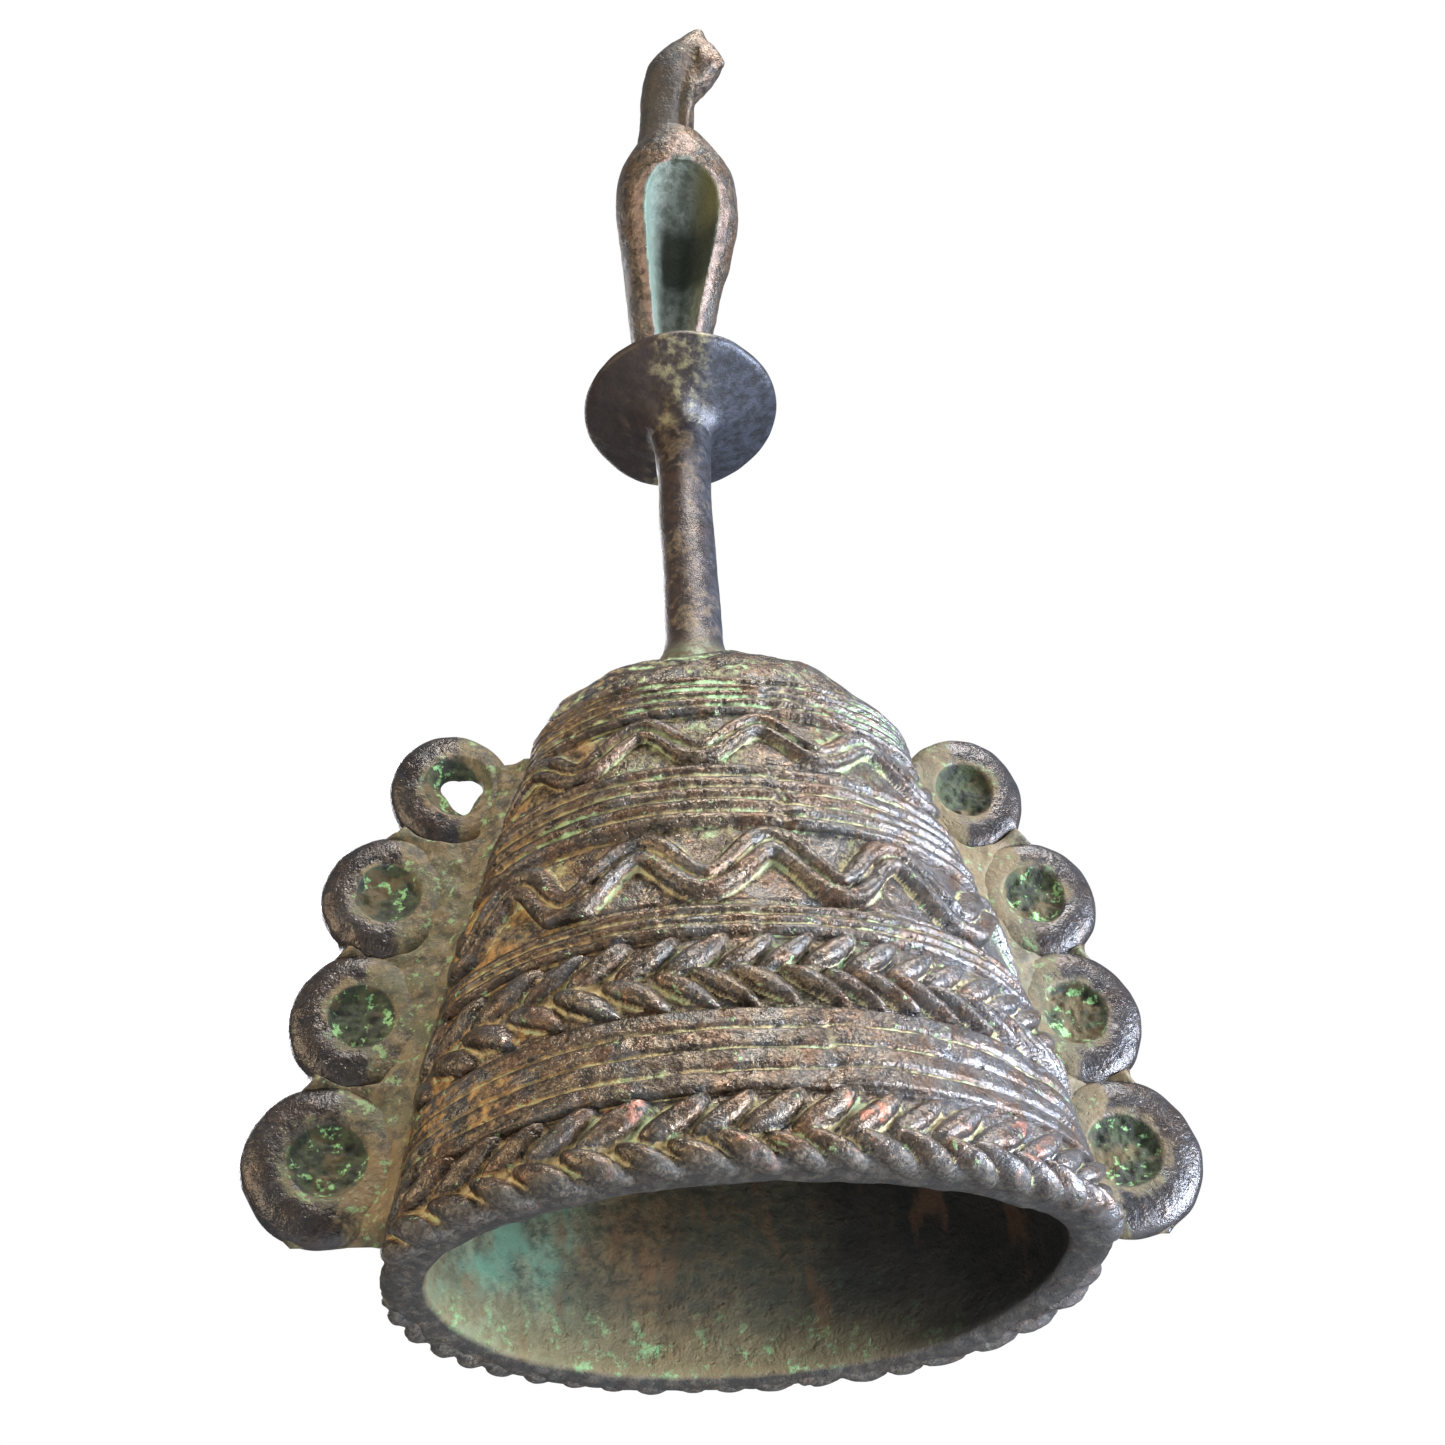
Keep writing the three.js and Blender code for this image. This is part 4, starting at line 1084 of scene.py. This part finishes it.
def corrosion(b, film, green):
    """Lays on film, pale dirt and verdigris, and returns where any of them covers the metal."""
    small, medium, large, left, right = b.small, b.medium, b.large, b.left, b.right
    deep = b.times(b.relief, -1.0)
    film_mask = b.ramp(b.total(
        b.times(deep, 0.9), b.centred(small, 1.6), b.centred(medium, 1.6),
        b.centred(large, 0.8), b.times(left, 0.28), b.times(right, -0.30),
    ), 0.50 - film, 1.15 - film)
    soil = b.tinted(
        b.tone(b.fine, 0.34, 0.66, (56, 50, 32), (126, 115, 80)),
        ((88, 98, 68), b.ramp(b.cloud(4, 3, 31.0), 0.48, 0.60), 0.6),
        (b.tone(small, 0.38, 0.62, (76, 52, 22), (142, 104, 48)), left, b.ramp(medium, 0.28, 0.60)),
    )
    pale_mask = b.ramp(b.total(deep, b.centred(small, 2.6), b.centred(medium, 1.2)), 0.70, 1.20)
    pale = b.tone(medium, 0.50, 0.62, (178, 160, 118), (150, 168, 128))
    low_places = b.ramp(b.total(deep, b.centred(small, 2.4)), -0.2, 0.6)
    green_start = 0.68 - green * 0.26
    spread = b.ramp(b.cloud(13, 3, 7.0, 0.6), green_start, green_start + 0.12)
    green_mask = b.times(spread, low_places)
    if green > 0:
        crown = b.times(
            b.ramp(b.z, 0.078, 0.104), b.ramp(b.cloud(9, 2, 9.0), 0.46, 0.58), low_places,
        )
        specks = b.times(b.ramp(b.cloud(2.6, 3, 11.0, 0.6), 0.66, 0.72), 0.8)
        green_mask = b.math("MAXIMUM", green_mask, crown, specks)
    verdigris = b.tone(small, 0.36, 0.64, (80, 96, 52), (144, 184, 134))
    b.colour = b.tinted(
        b.colour, (soil, film_mask, 0.9), (pale, pale_mask, 0.62), (verdigris, green_mask, 0.75),
    )
    cover = b.math("MAXIMUM", film_mask, green_mask, pale_mask)
    gloss = b.blend(b.ramp(medium, 0.3, 0.7), 0.24, 0.40)
    b.metallic = b.blend(cover, 0.60, 0.10)
    b.roughness = b.blend(cover, gloss, b.blend(right, 0.62, 0.44))
    return cover


def rubbed_and_glinting_tops(b, wear_and_glint):
    medium = b.medium
    tops = b.total(
        b.math("MINIMUM", b.relief, 0.7),
        b.centred(b.small, 3.0), b.centred(b.fine, 1.8), b.centred(medium, 1.2),
    )
    mask = b.ramp(tops, 1.45 - wear_and_glint * 0.8, 1.95 - wear_and_glint * 0.8)
    rubbed_and_glint = b.tone(medium, 0.42, 0.60, (130, 106, 88), (188, 166, 152))
    # painted highlight: on the right side the rubbed tops turn bluish white, as glints of the window light
    # would
    rubbed_and_glint = b.tinted(rubbed_and_glint, ((196, 194, 202), b.right, 0.6))
    b.colour = b.tinted(b.colour, (rubbed_and_glint, mask, 0.65))
    b.metallic = b.blend(mask, b.metallic, 0.85)
    b.roughness = b.blend(mask, b.roughness, 0.24)


def bronze(name, film, green, wear_and_glint, dark=0.0, bumpy=0.8, matte=0.0, detail=None):
    """Old cast bronze: brown metal, ochre film, pale dirt in grooves, verdigris and small rubbed spots, with a
    painted bluish sheen on the right side and painted highlights on the rubbed tops there.
    """
    b = Bronze(name)
    metal(b, dark)
    cover = corrosion(b, film, green)
    rubbed_and_glinting_tops(b, wear_and_glint)
    pits = b.ramp(b.cloud(1.3, 2, 14.0), 0.62, 0.74)
    b.colour = b.tinted(b.colour, ((40, 32, 26), pits, 0.65))
    if detail:
        detail(b)
    height = b.total(b.times(b.fine, 0.55), b.small, b.times(cover, 0.35), b.times(pits, -0.4))
    shader = b.node("ShaderNodeBsdfPrincipled", {
        "Base Color": b.colour,
        "Metallic": b.metallic,
        "Roughness": b.blend(matte, b.roughness, 0.62),
        "Normal": b.node("ShaderNodeBump", {"Strength": bumpy, "Distance": 0.0005, "Height": height}),
    })
    b.node("ShaderNodeOutputMaterial", {"Surface": shader})
    return b.material


def lip_detail(b):
    spots = (
        b.ramp(b.cloud(8, 2, 12.0), 0.62, 0.68), b.ramp(b.relief, 0.0, 0.5),
        b.ramp(b.small, 0.46, 0.56), b.ramp(b.x, 0.046, 0.034),
    )
    b.lay_over((160, 96, 74), 0.2, 0.45, *spots, 0.5)
    # darker towards the bottom edge of the lip, where the band turns under it
    dark_lip_edge = b.tone(b.fine, 0.4, 0.6, (14, 12, 10), (60, 56, 49))
    b.lay_over(dark_lip_edge, 0.0, 0.7, b.past(b.z, b.small, 0.002, 0.0034, 0.0014), 0.85)


def flange_detail(b):
    small, medium = b.small, b.medium
    crust = b.tinted(
        b.tone(small, 0.36, 0.62, (44, 39, 26), (96, 82, 54)),
        ((64, 66, 42), b.ramp(medium, 0.46, 0.60), 0.7),
        ((108, 84, 48), b.ramp(b.large, 0.50, 0.62), 0.5),
        ((104, 130, 86), b.ramp(b.cloud(2.6, 3, 15.0, 0.7), 0.58, 0.66)),
        ((124, 112, 82), b.ramp(b.fine, 0.52, 0.70), 0.6),
        ((78, 70, 54), b.right, 0.35),
    )
    web = b.total(b.attribute("web"), b.centred(medium, 0.9), b.centred(small, 0.5))
    b.lay_over(crust, 0.05, 0.7, b.ramp(web, 0.32, 0.62), 0.92)
    top_right = b.times(b.ramp(b.x, 0.02, 0.03), b.ramp(b.z, 0.078, 0.088))
    floor = b.tinted(
        b.tone(small, 0.38, 0.62, (15, 19, 9), (46, 54, 30)),
        ((72, 60, 36), b.ramp(medium, 0.50, 0.62)),
        ((112, 152, 98), b.ramp(b.cloud(2.2, 3, 16.0, 0.7), 0.56, 0.66), b.math("SUBTRACT", 1.0, top_right)),
    )
    b.lay_over(floor, 0.0, 0.85, b.past(b.attribute("pocket"), small, 0.7, 0.3, 0.6))


def shell_detail(b):
    small, medium, x = b.small, b.medium, b.x
    b.lay_over(b.tone(small, 0.45, 0.68, (10, 9, 7), (56, 53, 47)), 0.0, 0.75, b.attribute("lip"), 0.85)
    teal_patch = b.ramp(b.total(b.centred(medium, 1.6), b.centred(b.large, 1.0)), -0.10, 0.30)
    teal = b.tone(small, 0.35, 0.65, (52, 62, 50), (100, 108, 86))
    teal = b.tinted(teal, ((82, 116, 98), teal_patch))
    ochre = b.tone(small, 0.35, 0.65, (50, 43, 28), (88, 70, 45))
    # painted shade: a near-black brown for the right part of the inside wall
    painted_shade_wall = b.tone(medium, 0.35, 0.65, (8, 7, 4), (24, 20, 12))
    blotch = b.cloud(9, 4, 18.0, 0.6, 2.2)
    low_edge = b.past(b.z, medium, 0.010, 0.016, 0.000)
    seen_side = b.ramp(x, 0.044, 0.006)
    drops = b.times(b.ramp(b.cloud(3.0, 4, 19.0, 0.75), 0.53, 0.68), b.total(low_edge, 0.05))
    drops = b.math("MULTIPLY", drops, seen_side, clamp=True)
    # The inside wall: ochre, darkened towards the right by painted shade; teal patina on the left, painted
    # lighter there as the side the light reaches; and a painted lighter band near the mouth, where the wall is
    # less shaded.
    wall = b.tinted(
        ochre,
        (painted_shade_wall, b.past(x, blotch, 0.05, -0.016, 0.030)),
        (teal, b.past(x, blotch, 0.055, -0.016, -0.044)),
        ((44, 50, 40), b.ramp(b.cloud(15, 3, 22.0, 0.6, 1.6), 0.44, 0.60), b.ramp(x, 0.030, 0.005), 0.5),
        ((118, 104, 70), low_edge, seen_side, 0.55),
        ((112, 156, 106), drops, 0.8),
        ((92, 62, 34), b.ramp(b.cloud(7, 3, 23.0, 0.6, 3.0), 0.56, 0.66), 0.4),
    )
    b.lay_over(wall, 0.05, 0.85, b.attribute("inside"))


def bird_detail(b):
    small, medium, x = b.small, b.medium, b.x
    blush = b.tone(small, 0.35, 0.65, (70, 54, 46), (122, 102, 92))
    b.lay_over(blush, 0.3, 0.45, b.past(b.attribute("rim"), small, 0.5, 0.30, 0.70), 0.7)
    hollow = b.tinted(
        b.tone(small, 0.35, 0.65, (62, 66, 56), (98, 104, 96)),
        ((84, 100, 90), b.past(x, small, 0.004, -0.0005, -0.0065)),
        ((70, 68, 38), b.past(x, small, 0.005, 0.003, 0.008)),
        ((24, 30, 14), b.past(b.attribute("shade"), medium, 0.6, 0.20, 0.80)),
    )
    b.lay_over(hollow, 0.05, 0.7, b.attribute("hollow"))
    throat = b.tone(medium, 0.4, 0.6, (13, 10, 6), (34, 27, 17))
    b.lay_over(throat, 0.1, 0.6, b.ramp(b.z, 0.246, 0.252), b.past(x, small, 0.004, 0.006, 0.001), 0.8)


def handle_detail(b):
    small, medium, fine, x, z = b.small, b.medium, b.fine, b.x, b.z
    # painted light: warm brown on the left and bluish grey on the right of the rod and disc, as the warm fill
    # and the blue window light would colour them
    warm = b.tone(small, 0.36, 0.64, (34, 22, 16), (60, 42, 30))
    cool = b.tone(small, 0.36, 0.64, (34, 36, 42), (58, 62, 74))
    b.lay_over(b.mix(b.past(x, medium, 0.016, -0.004, 0.007), warm, cool), 0.45, 0.42, 0.75)
    stain = b.tone(fine, 0.4, 0.6, (64, 52, 34), (100, 82, 56))
    b.lay_over(stain, 0.1, 0.6, b.past(medium, small, 0.5, 0.54, 0.68), b.ramp(x, 0.009, 0.000), 0.65)
    root = b.tone(small, 0.4, 0.6, (84, 68, 42), (104, 124, 90))
    b.lay_over(root, 0.05, 0.7, b.past(z, small, 0.014, 0.130, 0.1225), 0.5)
    from_middle = b.node("ShaderNodeMath", {0: b.total(x, b.centred(medium, 0.016))}, operation="ABSOLUTE")
    drip = b.tone(small, 0.4, 0.7, (60, 56, 36), (128, 122, 84))
    drip_masks = (b.ramp(z, 0.183, 0.189), b.ramp(from_middle, 0.0075, 0.0005), b.ramp(small, 0.36, 0.68))
    b.lay_over(drip, 0.05, 0.6, *drip_masks, 0.6)
    # painted shade: the left of the disc darkened to near-black brown
    b.lay_over((24, 14, 10), 0.3, 0.5, b.ramp(z, 0.182, 0.188), b.ramp(x, 0.001, -0.014), 0.75)


# ---- assemble
MATERIALS = {
    "shell": bronze("shell_bronze", 0.75, 0.55, -0.1, detail=shell_detail),
    "cords": bronze("cord_bronze", 0.36, 0.35, 0.1),
    "plait": bronze("plait_bronze", 0.20, 0.2, 0.5),
    "lip": bronze("lip_bronze", 0.20, 0.25, 0.6, detail=lip_detail),
    "flange": bronze("flange_bronze", -0.1, -0.2, 0.1, dark=0.7, bumpy=0.6, detail=flange_detail),
    "handle": bronze(
        "handle_bronze", -0.35, -0.8, -0.1, dark=0.9, bumpy=0.4, matte=0.25, detail=handle_detail,
    ),
    "bird": bronze("bird_bronze", 0.10, -0.1, -0.2, matte=0.4, detail=bird_detail),
    "clapper": bronze("clapper_bronze", 0.2, 0.1, 0.2, dark=0.4),
}


def paint(thing, look, slot_name):
    thing.data.materials.clear()
    thing.data.materials.append(MATERIALS[look])


shell = add_shell()
paint(shell, "shell", "shell_bronze")
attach(shell, "bell")

BAND_LOOKS = {"lip_plait": ("lip", "lip_bronze"), "upper_plait": ("plait", "cord_bronze")}
for place, side in (("front", 1), ("back", -1)):
    for name in BANDS:
        band = add_band(place, name, side)
        paint(band, *BAND_LOOKS.get(name, ("cords", "cord_bronze")))
        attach(band, "bell")

for side_name, side in (("left", -1), ("right", 1)):
    for piece in [add_web(side_name, side), *(add_lobe(side_name, side, index) for index in range(4))]:
        paint(piece, "flange", "flange_bronze")
        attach(piece, "bell")

add_handle()
add_bird()
staple, link, clapper = add_clapper()
for thing_name, look, slot_name in (
    ("handle_grip", "handle", "handle_bronze"),
    ("guard_plate", "handle", "handle_bronze"),
    ("bird_pod", "bird", "bird_bronze"),
    ("bird_neck_head", "bird", "bird_bronze"),
    ("staple_wire", "clapper", "clapper_metal"),
):
    thing = bpy.data.objects[thing_name]
    paint(thing, look, slot_name)
    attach(thing, "bell")
paint(link, "clapper", "clapper_metal")
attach(link, "link")
paint(clapper, "clapper", "clapper_metal")
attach(clapper, "clapper")


# ---- floor, world and lights
FLOOR_DROP = -600
FLOOR_REACH = 40000
FLOOR_GLOW = 0.42
SKY_LIGHT = 0.34

corners = [(x * FLOOR_REACH, y * FLOOR_REACH, FLOOR_DROP) for x, y in ((-1, -1), (1, -1), (1, 1), (-1, 1))]
floor = build("floor", corners, [[0, 1, 2, 3]], smooth=False)
pale_floor = bpy.data.materials.new("floor_pale")
pale_floor.use_nodes = True
pale_floor.node_tree.nodes.clear()
ground = Nodes(pale_floor.node_tree)
ground.node("ShaderNodeOutputMaterial", {"Surface": ground.node("ShaderNodeBsdfPrincipled", {
    "Base Color": (0.82, 0.82, 0.82, 1),
    "Roughness": 0.9,
    "Emission Color": (1.0, 0.97, 0.93, 1),
    "Emission Strength": ground.times(ground.node("ShaderNodeLightPath", {}, "Is Camera Ray"), FLOOR_GLOW),
})})
floor.data.materials.append(pale_floor)

world = bpy.data.worlds.new("studio")
bpy.context.scene.world = world
world.use_nodes = True
world.node_tree.nodes.clear()
sky = Nodes(world.node_tree)
sky.node("ShaderNodeOutputWorld", {0: sky.node("ShaderNodeMixShader", {
    0: sky.node("ShaderNodeLightPath", {}, "Is Camera Ray"),
    1: sky.node("ShaderNodeBackground", {0: (0.80, 0.86, 1.0, 1), 1: SKY_LIGHT}),
    2: sky.node("ShaderNodeBackground", {0: (1, 1, 1, 1), 1: 1.0}),
})})


def area(name, place, target, size, power, colour):
    data = bpy.data.lights.new(name, "AREA")
    data.shape = "RECTANGLE"
    data.size, data.size_y = size
    data.energy = power
    data.color = colour
    light = in_scene(name, data)
    light.location = place
    light.rotation_euler = (Vector(target) - Vector(place)).to_track_quat("-Z", "Y").to_euler()


area("window", (0.80, -0.40, 0.00), (0, 0, 0.08), (0.28, 0.5), 38.0, (0.78, 0.87, 1.0))
area("low_window", (0.50, -0.62, -0.30), (0.03, 0, 0.03), (0.12, 0.18), 4.5, (0.86, 0.92, 1.0))
area("warm_fill", (-0.8, -0.45, 0.20), (0, 0, 0.08), (0.45, 0.45), 9.0, (1.0, 0.84, 0.60))
area("back", (-0.35, 0.75, 0.65), (0, 0, 0.12), (0.5, 0.5), 7.0, (0.96, 0.97, 1.0))
area("top", (0.15, -0.40, 0.8), (0, 0, 0.12), (0.35, 0.25), 12.0, (1.0, 0.97, 0.92))

bpy.context.scene.view_settings.view_transform = "Standard"
